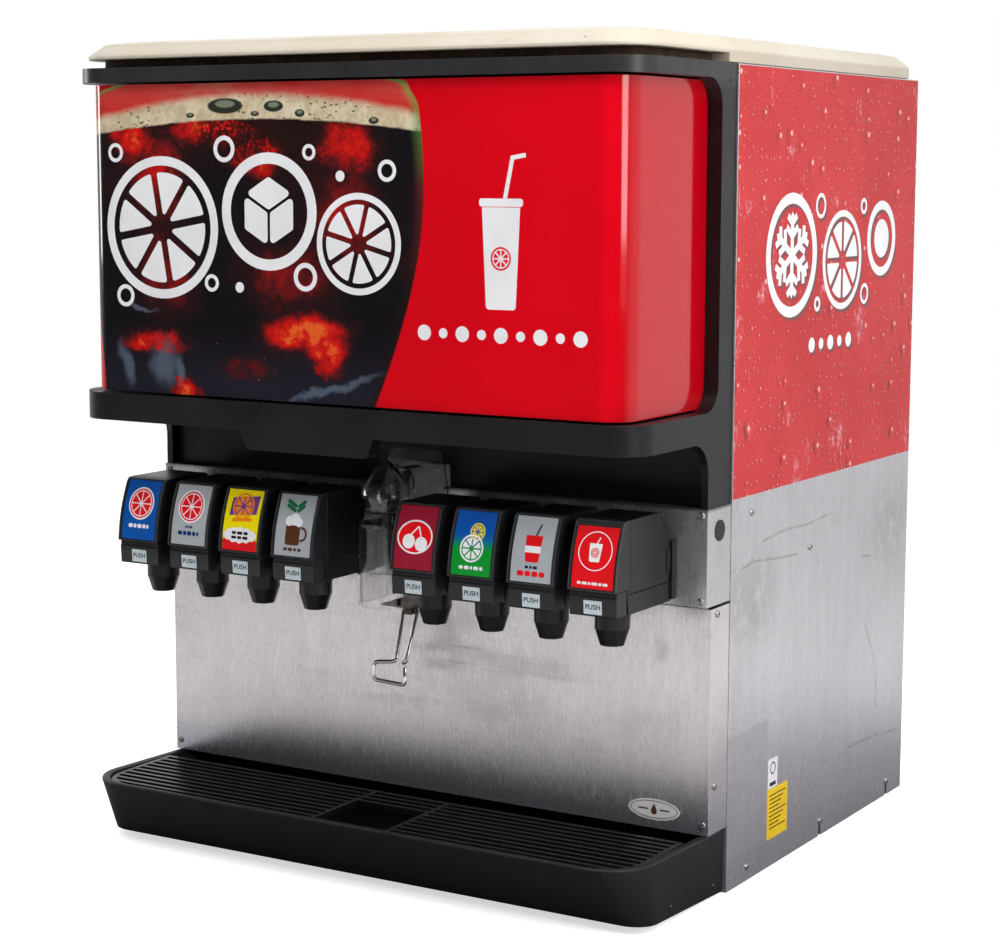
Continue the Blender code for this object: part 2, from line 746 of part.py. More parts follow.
def merchandiser_frame():
    """One black moulding: top rail, shelf, two rear columns, and the apron and cheeks under the shelf."""
    plan = (
        (-FRAME_HALF, FRAME_BACK, 0),
        (-FRAME_HALF, FRAME_FRONT, FRAME_CORNER),
        (FRAME_HALF, FRAME_FRONT, FRAME_CORNER),
        (FRAME_HALF, FRAME_BACK, 0),
    )
    ahead = FRAME_FRONT - REACH
    behind = FRAME_BACK + REACH
    side = (
        (ahead, FRAME_TOP + REACH, 0),
        (ahead, WINDOW_Z[1], 0),
        (WINDOW_BACK, WINDOW_Z[1], WINDOW_RADIUS),
        (WINDOW_BACK, WINDOW_Z[0], WINDOW_RADIUS),
        (ahead, WINDOW_Z[0], 0),
        (ahead, SHELF_BASE, 0),
        (CHEEK_FRONT, SHELF_BASE, CHEEK_RADIUS),
        (CHEEK_FRONT, FRAME_BASE - REACH, 0),
        (behind, FRAME_BASE - REACH, 0),
        (behind, FRAME_TOP + REACH, 0),
    )
    frame = prism("merchandiser_frame", "XY", rounded(plan), FRAME_BASE, FRAME_TOP, "black_plastic")
    guide = prism("frame_side_profile", "YZ", rounded(side), -HALF - REACH, HALF + REACH)
    window = box(
        "frame_window",
        (-COLUMN_INNER, ahead, WINDOW_Z[0] - GAP),
        (COLUMN_INNER, behind, WINDOW_Z[1] + GAP),
    )
    recess = box(
        "apron_recess",
        (-APRON_HALF, CHEEK_FRONT - REACH, FRAME_BASE - REACH),
        (APRON_HALF, APRON_FRONT, SHELF_BASE - GAP),
    )
    back = box(
        "apron_back",
        (-APRON_BACK_HALF, APRON_FRONT + APRON_WALL, FRAME_BASE - REACH),
        (APRON_BACK_HALF, behind, APRON_BACK_TOP),
    )
    notch_half = GATE_HALF + NOTCH_GAP
    notch = box(
        "apron_notch",
        (-notch_half, CHEEK_FRONT - REACH, FRAME_BASE - REACH),
        (notch_half, behind, THROAT_Z[1] + THROAT_WALL + NOTCH_GAP),
    )
    low, high = TAB_Z
    corner = TAB_CORNER
    tab_outline = (
        (TAB_TOP[0], high, 0),
        (TAB_FOOT[0], low, corner),
        (TAB_FOOT[1], low, corner),
        (TAB_TOP[1], high, 0),
    )
    tab = prism("shelf_tab", "XZ", rounded(tab_outline, 3), FRAME_FRONT, FRAME_FRONT + TAB_DEPTH)
    combine(frame, guide, "INTERSECT")
    cut(frame, window, recess, back, notch)
    join(frame, tab)


def graphic_panel():
    """The clear-faced picture sheet: an open skin wrapped round the front and both sides."""
    low = WINDOW_Z[0] + PANEL_GAP
    height = WINDOW_Z[1] - PANEL_GAP - low
    corners = (
        (-PANEL_HALF, PANEL_BACK, 0),
        (-PANEL_HALF, PANEL_FRONT, PANEL_RADIUS),
        (PANEL_HALF, PANEL_FRONT, PANEL_RADIUS),
        (PANEL_HALF, PANEL_BACK, 0),
    )
    path = rounded(corners, 8)
    bm = bmesh.new()
    lower = [bm.verts.new((x, y, low)) for x, y in path]
    rims = [bm.edges.new(pair) for pair in zip(lower, lower[1:])]
    raised = bmesh.ops.extrude_edge_only(bm, edges=rims)["geom"]
    risen = [item for item in raised if isinstance(item, bmesh.types.BMVert)]
    bmesh.ops.translate(bm, verts=risen, vec=(0, 0, height))
    bmesh.ops.recalc_face_normals(bm, faces=bm.faces)
    if sum(face.normal.dot(face.calc_center_median() - Vector((0, 0, low))) for face in bm.faces) < 0:
        bmesh.ops.reverse_faces(bm, faces=bm.faces)
    mesh = mesh_of(bm, "graphic_panel")
    shade_round(mesh)
    panel = place("graphic_panel", mesh, finish="red_panel")
    skin = panel.modifiers.new("skin", "SOLIDIFY")
    skin.thickness = PANEL_SKIN
    skin.offset = -1
    skin.use_even_offset = True


def lamp():
    low = (-REFLECTOR_HALF, REFLECTOR_Y[0], REFLECTOR_Z[0])
    high = (REFLECTOR_HALF, REFLECTOR_Y[1], REFLECTOR_Z[1])
    folded("lamp_reflector", low, high, ("-Y", "+Z", "-Z"), "white_plastic")
    length = 2 * (REFLECTOR_HALF - SHEET - GAP)
    rod("lamp_tube", "X", (0, *LAMP_YZ), LAMP_RADIUS, length, "lamp_glass")


# --- steel front ---


def valve_panel():
    """The steel channel that the valves are screwed to, with a notch at the top for the ice throat."""
    low = (-FRONT_HALF, VALVE_PANEL_FRONT, VALVE_PANEL_Z[0])
    high = (FRONT_HALF, FRONT_BACK, VALVE_PANEL_Z[1])
    panel = folded("valve_panel", low, high, ("+Y",), "steel")
    notch_half = GATE_HALF + NOTCH_GAP
    bottom = THROAT_Z[0] - THROAT_WALL - GAP
    notch = box(
        "throat_notch",
        (-notch_half, VALVE_PANEL_FRONT - REACH, bottom),
        (notch_half, FRONT_BACK + REACH, VALVE_PANEL_Z[1] + REACH),
    )
    hole = rod("plug_hole", "X", (FRONT_HALF, *PLUG_YZ), PLUG_BODY + GAP, 0.020, sides=20)
    cut(panel, notch, hole)


def hole_plug():
    """The blanking plug in the valve panel's right side."""
    face = GAP * 2
    profile = [
        (0.0, face),
        (PLUG_HEAD, face),
        (PLUG_HEAD, GAP / 2),
        (PLUG_BODY, GAP / 2),
        (PLUG_BODY, -PLUG_DEPTH),
        (0.0, -PLUG_DEPTH),
    ]
    plug = turned("hole_plug", profile, (FRONT_HALF, *PLUG_YZ), "Z", "black_plastic", 20)
    plug.rotation_euler = (0, math.pi / 2, 0)


def splash_panel():
    low = (-FRONT_HALF, SPLASH_FRONT, SPLASH_Z[0])
    high = (FRONT_HALF, FRONT_BACK, SPLASH_Z[1])
    folded("splash_panel", low, high, ("+Y", "+Z", "-Z"), "steel")


# --- drip tray ---


def tray_ring(half, front, back, corner, front_z, back_z):
    """The tray's outline in plan, square at the back, with its height going from front_z to back_z."""
    corners = ((-half, back, 0), (-half, front, corner), (half, front, corner), (half, back, 0))
    slope = (front_z - back_z) / (front - back)
    return [(x, y, back_z + slope * (y - back)) for x, y in rounded(corners)]


def drip_tray():
    """A raked, open tray with a rounded rim and a ledge for the cup grid."""
    front, back, half = -TRAY_REACH, TRAY_BACK, TRAY_HALF
    rim_front, rim_back = TRAY_RIM_FRONT_Z, TRAY_RIM_BACK_Z
    foot_half, foot_front = TRAY_FOOT_HALF, TRAY_FOOT_FRONT
    rise = TRAY_FOOT_RISE
    chamfer, lip, ledge = 0.003, 0.003, 0.0075
    seat = GRID_Z[0] - GAP
    seat_half, seat_front = GRID_HALF + 0.0020, GRID_Y[0] - 0.0015
    well_back = back - TRAY_BACK_WALL
    outer, inner = TRAY_CORNER, TRAY_INNER_CORNER
    floor_half, floor_front = TRAY_FLOOR
    rings = [
        tray_ring(foot_half - chamfer, foot_front + chamfer, back, TRAY_FOOT_CORNER, rise, 0.0),
        tray_ring(foot_half, foot_front, back, TRAY_FOOT_CORNER, rise + 0.004, 0.004),
        tray_ring(half, front, back, outer, rim_front - lip, rim_back - lip),
        tray_ring(half - 0.001, front + 0.001, back, outer, rim_front - 0.001, rim_back - 0.001),
        tray_ring(half - lip, front + lip, back, outer - 0.004, rim_front, rim_back),
        tray_ring(seat_half, seat_front, well_back, inner, rim_front - 0.003, rim_back - GAP),
        tray_ring(seat_half - GAP, seat_front + GAP, well_back, inner, seat, seat),
        tray_ring(GRID_HALF - ledge, GRID_Y[0] + ledge, well_back - 0.001, inner - 0.002, seat, seat),
        tray_ring(floor_half, floor_front, well_back - 0.002, inner - 0.002, 0.013, 0.006),
    ]
    tray = loft("drip_tray", rings, "black_plastic")
    x, z = DRAIN_XZ
    cut(tray, rod("tray_drain", "Y", (x, back, z), DRAIN_RADIUS - DRAIN_WALL, 0.040))


def grid_outline(inset):
    """The cup grid's plan, with the tray's round front corners, drawn in by inset."""
    half, front, back = GRID_HALF - inset, GRID_Y[0] + inset, GRID_Y[1] - inset
    corner = GRID_CORNER - inset
    return rounded(((-half, back, 0), (-half, front, corner), (half, front, corner), (half, back, 0)))


def cup_grid():
    """Bars along X in two outer bays. The middle bay, under the ice chute, has its bars at the back only."""
    front, back = GRID_Y
    bottom, top = GRID_Z[0] - REACH, GRID_Z[1] + REACH
    grid = prism("cup_grid", "XY", grid_outline(0), *GRID_Z, "black_plastic")
    field = prism("grid_field", "XY", grid_outline(GRID_BORDER), bottom + GAP, top - GAP)
    pitch = (back - front - GRID_BORDER * 2 + GRID_BAR) / GRID_ROWS
    slot = pitch - GRID_BAR
    half_bar = GRID_BAR / 2
    first = front + GRID_BORDER - GAP
    bays = (
        ("left", -GRID_HALF, GRID_BAY[0] - half_bar, 0),
        ("middle", GRID_BAY[0] + half_bar, GRID_BAY[1] - half_bar, GRID_WELL_ROWS),
        ("right", GRID_BAY[1] + half_bar, GRID_HALF, 0),
    )
    for name, start, end, row in bays:
        near = first + row * pitch
        slots = box(f"grid_slots_{name}", (start, near, bottom), (end, near + slot, top))
        repeat(slots, GRID_ROWS - row, (0, pitch, 0))
        combine(slots, field, "INTERSECT")
        cut(grid, slots)
    well_back = first + (GRID_WELL_ROWS - 1) * pitch + slot
    cut(grid, box("grid_well", (bays[1][1], first + GAP, bottom), (bays[1][2], well_back, top)))
    hang(grid, "grid_lift_axis", (0, (front + back) / 2, GRID_Z[0]))


def drain_pipe():
    """A stiff pipe from the tray's drain, over the base pan and out through the rear panel."""
    x, z = DRAIN_XZ
    middle = (x, DRAIN_END / 2, z)
    pipe = rod("drain_pipe", "Y", middle, DRAIN_RADIUS, DRAIN_END, "white_plastic", 12)
    cut(pipe, rod("drain_bore", "Y", middle, DRAIN_RADIUS - DRAIN_WALL, DRAIN_END + REACH, sides=12))


# --- ice chute ---


def chute_ring(half, front, back, z, steps=10):
    """A U in plan: straight sides from the back, closed by a half circle at the front."""
    centre = front + half
    points = [(-half, back, z)]
    for step in range(steps + 1):
        angle = math.pi + math.pi * step / steps
        points.append((half * math.cos(angle), centre + half * math.sin(angle), z))
    points.append((half, back, z))
    return points


def disc_ring(radius, y, z, steps=20):
    """A circle in plan, centred on x = 0."""
    angles = [math.tau * step / steps for step in range(steps)]
    return [(radius * math.cos(angle), y + radius * math.sin(angle), z) for angle in angles]


def chute_shape(name, inset, foot, back, finish=None):
    """The hood as a solid, drawn in by inset: a channel, the dome on it, and an arch behind the dome."""
    rings = [chute_ring(half - inset, front + inset, back, z - inset) for half, front, z in CHUTE_CHANNEL]
    rings[0] = [(x, y, foot) for x, y, z in rings[0]]
    shape = loft(name, rings, finish)
    rings = [disc_ring(radius - inset, CHUTE_DOME_Y, z - inset) for radius, z in CHUTE_DOME]
    dome = loft(f"{name}_dome", rings)
    half, corner = CHUTE_ARCH_HALF - inset, CHUTE_ARCH_CORNER - inset
    low, high = CHUTE_ARCH_Z[0], CHUTE_ARCH_Z[1] - inset
    outline = rounded(((-half, low, 0), (half, low, 0), (half, high, corner), (-half, high, corner)))
    arch = prism(f"{name}_arch", "XZ", outline, CHUTE_ARCH_FRONT + inset, back)
    join(shape, dome, arch)
    return shape


def ice_chute():
    """A clear domed hood on a flange, open at the bottom and, through the flange, at the back."""
    hood = chute_shape("ice_chute", 0.0, CHUTE_BASE, CHUTE_BACK, "clear_plastic")
    half, top_half, shoulder = CHUTE_PLATE_HALF, CHUTE_PLATE_TOP_HALF, CHUTE_SHOULDER
    outline = rounded(
        (
            (-half, CHUTE_BASE, 0),
            (half, CHUTE_BASE, 0),
            (half, shoulder, 0),
            (top_half, CHUTE_TOP, 0.005),
            (-top_half, CHUTE_TOP, 0.005),
            (-half, shoulder, 0),
        )
    )
    flange = prism("chute_flange", "XZ", outline, CHUTE_BACK - CHUTE_PLATE, CHUTE_BACK)
    core = chute_shape("chute_core", CHUTE_WALL, CHUTE_BASE - REACH, CHUTE_BACK + REACH)
    join(hood, flange)
    cut(hood, core)


def ice_gate():
    low = (-GATE_HALF, GATE_Y[0], GATE_Z[0])
    gate = box("ice_gate", low, (GATE_HALF, GATE_Y[1], GATE_Z[1]), "white_plastic")
    hang(gate, "ice_gate_axis", (0, GATE_Y[0], GATE_Z[0]))


def lever_bracket():
    """A brass-coloured plate below the chute, with the block that the lever's top bar turns in."""
    half, back = BRACKET_HALF, SPLASH_FRONT - GAP
    low, high = BRACKET_Z
    foot, head = BRACKET_FLANGE_Z
    plate = box("lever_bracket", (-half, BRACKET_FRONT, low), (half, back, high), "brass")
    flange = box("bracket_flange", (-half, back - (high - low), foot), (half, back, head))
    x, y, z = LEVER_PIVOT
    block = box("bracket_block", (-0.005, y - 0.006, z - 0.006), (0.005, y + 0.006, low + HOLE_GAP))
    hole = rod("pivot_hole", "X", (x, y, z), WIRE_RADIUS + GAP, 0.030)
    join(plate, flange, block)
    cut(plate, hole)


def ice_lever():
    """One bent wire: a top bar on the pivot, two legs leaning forward, and a closed loop to press."""
    top_y, top_z = LEVER_PIVOT[1:]
    corners = (
        (0.0030, -0.0960, 0.2432),
        (0.0095, -0.1000, 0.2450),
        (0.0110, top_y, top_z),
        (-0.0090, top_y, top_z),
        (-0.0045, -0.1000, 0.2445),
        (-0.0340, -0.1025, 0.2415),
        (-0.0340, -0.1035, 0.2205),
        (0.0105, -0.1040, 0.2185),
        (0.0110, -0.1040, 0.2395),
    )
    lever = wire("ice_lever", bent(corners, WIRE_BEND, 3), WIRE_RADIUS, "steel")
    hang(lever, "ice_lever_axis", LEVER_PIVOT)


# --- valves ---


def valve_block(name, x):
    """The valve's body: a base with a raked front, the flange on the panel, and the solenoids' block."""
    back = CHUTE_BACK - VALVE_FLANGE
    top = VALVE_SEAM - SEAM_GAP
    base = (
        (back + GAP, VALVE_BASE),
        (VALVE_FACE[0], VALVE_BASE),
        (VALVE_FACE[1], top),
        (back + GAP, top),
    )
    block = prism(f"{name}_block", "YZ", base, x - VALVE_HALF, x + VALVE_HALF, "black_plastic")
    low, high = FLANGE_Z
    flange = box(f"{name}_flange", (x - FLANGE_HALF, back, low), (x + FLANGE_HALF, CHUTE_BACK, high))
    low, high = ((x + corner[0], *corner[1:]) for corner in COILS)
    coils = box(f"{name}_coils", low, high)
    join(block, flange, coils)


def cover_outline(inset):
    """The cover's side outline, raked at the back and bowed at the front, drawn in by inset."""
    back, rear_z = COVER_BACK
    back -= inset / 2
    seam = VALVE_SEAM + SEAM_GAP
    fascia = VALVE_FACE[1] + 2 * SEAM_GAP + inset
    foot_y, head_y = (y + inset for y in COVER_FRONT)
    foot_z = BUTTON_TOP + 3 * SEAM_GAP + inset
    head_z = COVER_HEAD_Z - inset
    top = COVER_TOP - inset
    points = [(back, rear_z), (back, seam), (fascia, seam), (fascia, foot_z)]
    for step in range(7):
        t = step / 6
        y = foot_y + (head_y - foot_y) * t - COVER_BOW * math.sin(math.pi * t)
        points.append((y, foot_z + (head_z - foot_z) * t))
    points.append((head_y + 0.005, top - 0.0012))
    points.append((head_y + 0.013 - inset, top))
    points.append((COVER_REAR_TOP - inset / 2, top))
    return points


def valve_cover(name, x):
    """A thin shell over the block, open at the bottom and at the back."""
    shell = prism(
        f"{name}_cover", "YZ", cover_outline(0), x - VALVE_HALF, x + VALVE_HALF, "black_plastic"
    )
    back = COVER_BACK[0]
    inner = cover_outline(VALVE_WALL)
    inner[0] = (back + REACH, inner[0][1] - VALVE_WALL)
    inner[1] = (back + REACH, VALVE_SEAM - REACH)
    inner[2] = (inner[2][0], VALVE_SEAM - REACH)
    inner.insert(0, (back, inner[0][1]))
    half = VALVE_HALF - VALVE_WALL
    cut(shell, prism(f"{name}_cover_core", "YZ", inner, x - half, x + half))


def valve_button(name, x):
    """The press plate below the card. It tips about its top edge."""
    half = VALVE_HALF - 0.0003
    button = box(
        f"{name}_button",
        (x - half, BUTTON_FRONT, VALVE_BASE),
        (x + half, BUTTON_BACK, BUTTON_TOP),
        "black_plastic",
    )
    hang(button, f"{name}_button_axis", (x, *BUTTON_PIVOT))


def valve_nozzle(name, x):
    """A twist-off nozzle, straight and then tapered, with its diffuser a little way up inside."""
    profile = [
        (0.0, 0.0),
        (0.0200, 0.0),
        (0.0200, -0.0195),
        (0.0133, -0.0375),
        (0.0113, -0.0375),
        (0.0113, -0.0345),
        (0.0, -0.0345),
    ]
    centre = (x, NOZZLE_Y, NOZZLE_TOP)
    nozzle = turned(f"{name}_nozzle", profile, centre, "Z", "black_plastic")
    hang(nozzle, f"{name}_nozzle_axis", centre)


def build():
    side_panel("left_side_panel", -1)
    side_panel("right_side_panel", 1)
    base_pan()
    rear_panel()
    cable_gland()
    electrical_box()
    ice_hopper()
    hopper_gasket()
    cold_plate()
    agitator()
    gear_motor()
    product_manifold()
    lid()
    lid_rest_strip()
    merchandiser_frame()
    graphic_panel()
    lamp()
    valve_panel()
    hole_plug()
    splash_panel()
    drip_tray()
    cup_grid()
    drain_pipe()
    ice_chute()
    ice_gate()
    lever_bracket()
    ice_lever()
    for number, x in enumerate(VALVE_X, 1):
        for piece in (valve_block, valve_cover, valve_button, valve_nozzle):
            piece(f"valve_{number}", x)


build()
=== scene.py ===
"""The looks of a counter-standing ice and drinks dispenser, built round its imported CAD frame.

Metres. Places are measured as in the CAD: X to the customer's right, Y to the back from the side panels'
front edges, and Z up from the counter. piece() turns them into the row frame.
"""

import math

import bmesh
import bpy
from mathutils import Matrix, Vector

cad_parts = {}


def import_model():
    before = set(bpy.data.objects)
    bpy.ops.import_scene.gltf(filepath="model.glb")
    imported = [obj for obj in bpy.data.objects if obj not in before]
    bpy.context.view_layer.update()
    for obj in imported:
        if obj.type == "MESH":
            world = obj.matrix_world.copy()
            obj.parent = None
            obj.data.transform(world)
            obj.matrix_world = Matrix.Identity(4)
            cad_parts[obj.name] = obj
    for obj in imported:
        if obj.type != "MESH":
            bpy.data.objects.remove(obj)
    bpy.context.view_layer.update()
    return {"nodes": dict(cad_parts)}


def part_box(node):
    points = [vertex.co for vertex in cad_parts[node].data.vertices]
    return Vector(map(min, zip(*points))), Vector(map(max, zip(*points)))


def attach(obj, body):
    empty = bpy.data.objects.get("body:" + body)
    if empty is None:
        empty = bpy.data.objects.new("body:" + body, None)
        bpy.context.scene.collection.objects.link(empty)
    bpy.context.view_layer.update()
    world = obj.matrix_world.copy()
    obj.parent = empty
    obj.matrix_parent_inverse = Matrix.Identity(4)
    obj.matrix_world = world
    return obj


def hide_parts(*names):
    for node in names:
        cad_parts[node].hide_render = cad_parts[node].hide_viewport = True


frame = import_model()
nodes = frame["nodes"]

FRONT_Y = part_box("right_side_panel")[0].y
TO_ROW = Matrix.Translation((0, FRONT_Y, 0))
SIDES = ((-1, "left"), (1, "right"))
CLEAR_OF = 0.05  # how far a cutting shape reaches past what it cuts


def spread(node):
    """A CAD node's lowest and highest corners, measured from the side panels' front edges."""
    low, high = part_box(node)
    return low - TO_ROW.translation, high - TO_ROW.translation


# --- painting with nodes ---


class Number:
    """A number that a material's nodes work out at each point, written with plain arithmetic."""

    def __init__(self, paint, socket):
        self.paint = paint
        self.socket = socket

    def __add__(self, other):
        return self.paint.math("ADD", self, other)

    def __sub__(self, other):
        return self.paint.math("SUBTRACT", self, other)

    def __rsub__(self, other):
        return self.paint.math("SUBTRACT", other, self)

    def __mul__(self, other):
        return self.paint.math("MULTIPLY", self, other)

    def __truediv__(self, other):
        return self.paint.math("DIVIDE", self, other)

    def __abs__(self):
        return self.paint.math("ABSOLUTE", self)

    __radd__ = __add__
    __rmul__ = __mul__


class Paint:
    """One material, with short calls for the nodes that it is made of."""

    def __init__(self, name):
        self.material = bpy.data.materials.new(name)
        self.material.use_nodes = True
        self.tree = self.material.node_tree
        self.shader = self.tree.nodes["Principled BSDF"]
        self.point = self.node("ShaderNodeTexCoord").outputs["Object"]

    def node(self, kind, feeds=None, **settings):
        made = self.tree.nodes.new(kind)
        for key, value in settings.items():
            setattr(made, key, value)
        for key, value in (feeds or {}).items():
            self.feed(made.inputs[key], value)
        return made

    def feed(self, socket, value):
        if isinstance(value, Number):
            value = value.socket
        if isinstance(value, bpy.types.NodeSocket):
            self.tree.links.new(value, socket)
        elif socket.type == "RGBA":
            socket.default_value = (*value, 1.0)
        else:
            socket.default_value = value

    def number(self, socket):
        return Number(self, socket)

    def math(self, operation, *values):
        made = self.node("ShaderNodeMath", dict(enumerate(values)), operation=operation)
        return self.number(made.outputs[0])

    def axes(self):
        split = self.node("ShaderNodeSeparateXYZ", {0: self.point})
        x, y, z = (self.number(socket) for socket in split.outputs)
        return x, y - FRONT_Y, z

    def mapped(self, stretch, seed):
        feeds = {"Vector": self.point, "Scale": stretch, "Location": (seed * 1.7, seed * 2.3, seed * 3.1)}
        return self.node("ShaderNodeMapping", feeds).outputs[0]

    def noise(self, scale, detail=3.0, roughness=0.5, stretch=(1, 1, 1), seed=0, warp=0.0):
        feeds = {
            "Vector": self.mapped(stretch, seed),
            "Scale": scale,
            "Detail": detail,
            "Roughness": roughness,
            "Distortion": warp,
        }
        return self.number(self.node("ShaderNodeTexNoise", feeds).outputs[0])

    def cells(self, scale, seed=0, stretch=(1, 1, 1), feature="F1"):
        feeds = {"Vector": self.mapped(stretch, seed), "Scale": scale}
        return self.node("ShaderNodeTexVoronoi", feeds, feature=feature)

    def ramp(self, value, low, high, start=0.0, end=1.0):
        """From start to end, smoothly, as the value goes from low to high."""
        feeds = {0: value, 1: low, 2: high, 3: start, 4: end}
        made = self.node("ShaderNodeMapRange", feeds, interpolation_type="SMOOTHSTEP")
        return self.number(made.outputs[0])

    def mix(self, factor, first, second):
        feeds = {0: factor, 6: first, 7: second}
        return self.node("ShaderNodeMix", feeds, data_type="RGBA").outputs[2]

    def shades(self, value, *stops):
        """A colour from (position, colour) stops."""
        made = self.node("ShaderNodeValToRGB", {0: value})
        elements = made.color_ramp.elements
        while len(elements) < len(stops):
            elements.new(0.5)
        for element, (position, colour) in zip(elements, stops):
            element.position = position
            element.color = (*colour, 1.0)
        return made.outputs[0]

    def far(self, x, y, centre, radii=(1.0, 1.0), degrees=0.0):
        """How far a point is from a centre, in radii, in axes turned by degrees."""
        across, up = x - centre[0], y - centre[1]
        if degrees:
            turn = math.radians(degrees)
            cos, sin = math.cos(turn), math.sin(turn)
            across, up = across * cos + up * sin, up * cos - across * sin
        across, up = across / radii[0], up / radii[1]
        return self.math("SQRT", across * across + up * up)

    def bump(self, height, distance, strength=1.0):
        feeds = {"Height": height, "Distance": distance, "Strength": strength}
        return self.node("ShaderNodeBump", feeds).outputs[0]

    def finish(self, **inputs):
        for key, value in inputs.items():
            self.feed(self.shader.inputs[key.replace("_", " ")], value)
        return self.material


# --- materials ---


def moulded(name, colour, roughness, shine=0.5, mottle=0.12, scuffs=0.0, seed=0, extra=None):
    """Moulded plastic: fine grain, a little unevenness of colour and gloss, and light scuffs."""
    paint = Paint(name)
    cloud = paint.noise(9.0, 4.0, 0.6, seed=seed)
    fine = paint.noise(900.0, 2.0, 0.5, seed=seed)
    marks = paint.noise(60.0, 6.0, 0.72, stretch=(1.0, 1.0, 5.0), seed=seed + 3)
    worn = paint.ramp(marks, 0.64, 0.74) * scuffs
    darker = tuple(channel * (1.0 - mottle) for channel in colour)
    lighter = tuple(channel * (1.0 + mottle) for channel in colour)
    pale = tuple(channel * 0.5 + 0.10 for channel in colour)
    base = paint.mix(paint.ramp(cloud, 0.35, 0.68), darker, lighter)
    base = paint.mix(worn, base, pale)
    gloss = paint.ramp(cloud, 0.3, 0.7, roughness - 0.05, roughness + 0.07) + worn * 0.15
    if extra:
        base = extra(paint, base)
    normal = paint.bump(fine, 0.00004, 0.35)
    return paint.finish(Base_Color=base, Roughness=gloss, Specular_IOR_Level=shine, Normal=normal)


def rail_sheen(paint, base):
    """A patchy lighter grey band on the merchandiser's top rail: a painted reflection of a bright light."""
    z = paint.axes()[2]
    patchy = paint.ramp(paint.noise(30.0, 5.0, 0.7, seed=14), 0.25, 0.70, 0.6, 1.0)
    # Painted reflection: from z 0.902 up, the black is made lighter grey, in patches.
    sheen_band = paint.ramp(z, 0.902, 0.920) * patchy
    return paint.mix(sheen_band, base, (0.030, 0.029, 0.031))


def brushed(name, colour, stretch, roughness=0.34, smudges=0.5, seed=0, extra=None):
    """Brushed stainless steel, with cloudy finger marks and runs."""
    paint = Paint(name)
    x, y, z = paint.axes()
    hair = paint.noise(420.0, 2.0, 0.5, stretch=stretch, seed=seed)
    streak = paint.noise(60.0, 5.0, 0.70, stretch=stretch, seed=seed + 1)
    cloud = paint.noise(5.0, 4.0, 0.55, seed=seed + 2, warp=0.4)
    smudge = paint.noise(18.0, 4.0, 0.6, stretch=(0.6, 1.0, 1.3), seed=seed + 4)
    dull = paint.ramp(cloud, 0.42, 0.75) * smudges
    darker = tuple(channel * 0.80 for channel in colour)
    base = paint.mix(paint.ramp(streak, 0.25, 0.75) * 0.55, colour, darker)
    base = paint.mix(dull * 0.40, base, tuple(channel * 0.74 for channel in colour))
    base = paint.mix(paint.ramp(smudge, 0.50, 0.80) * 0.30 * smudges, base, (0.32, 0.30, 0.30))
    gloss = paint.ramp(hair, 0.2, 0.8, roughness - 0.03, roughness + 0.04) + dull * 0.08
    if extra:
        base, gloss = extra(paint, x, y, z, base, gloss)
    normal = paint.bump(hair, 0.000006, 0.20)
    return paint.finish(Base_Color=base, Roughness=gloss, Metallic=0.84, Normal=normal)


def line_mask(paint, y, z, start, end, width):
    """1 on the straight line from start to end, fading out over width."""
    along = Vector(end) - Vector(start)
    length = along.length
    along.normalize()
    across, up = y - start[0], z - start[1]
    travel = across * along.x + up * along.y
    travel = paint.math("MINIMUM", paint.math("MAXIMUM", travel, 0.0), length)
    across = across - travel * along.x
    up = up - travel * along.y
    return paint.ramp(paint.math("SQRT", across * across + up * up), width * 0.3, width, 1.0, 0.0)


# Lines of old dirt on the side panel, each from one (y, z) place to another.
SIDE_MARKS = (
    ((0.017, 0.3695), (0.060, 0.3760)),
    ((0.060, 0.3760), (0.125, 0.3700)),
    ((0.125, 0.3700), (0.182, 0.3670)),
    ((0.083, 0.3960), (0.150, 0.4010)),
    ((0.150, 0.4010), (0.210, 0.3990)),
    ((0.210, 0.3990), (0.282, 0.4030)),
    ((0.353, 0.0935), (0.440, 0.0900)),
    ((0.440, 0.0900), (0.524, 0.0815)),
    ((0.380, 0.3350), (0.418, 0.3320)),
    ((0.402, 0.2440), (0.442, 0.1820)),
    ((0.442, 0.1820), (0.446, 0.1260)),
)
SIDE_MARK_WIDTH = 0.0022
# Darker clouds on the steel, each (middle, reach, strength), in y and z.
SIDE_DARK_CLOUDS = (
    ((0.050, 0.330), (0.110, 0.090), 0.35),
    ((0.480, 0.360), (0.120, 0.110), 0.30),
)
# Where a peeled label left its dull rectangle: its back edge, its foot and its top.
LABEL_SCAR = (0.108, 0.036, 0.181)
# Rubbed spots on the splash panel: x, z, reach along x, reach along z, strength.
SPLASH_RUBS = (
    (0.060, 0.2590, 0.035, 0.0026, 0.45),
    (0.056, 0.2400, 0.045, 0.0026, 0.40),
    (0.040, 0.2950, 0.050, 0.0200, 0.20),
    (0.318, 0.2860, 0.016, 0.0240, 0.40),
    (0.160, 0.2500, 0.090, 0.0300, 0.16),
    (-0.170, 0.2050, 0.110, 0.0040, 0.14),
)


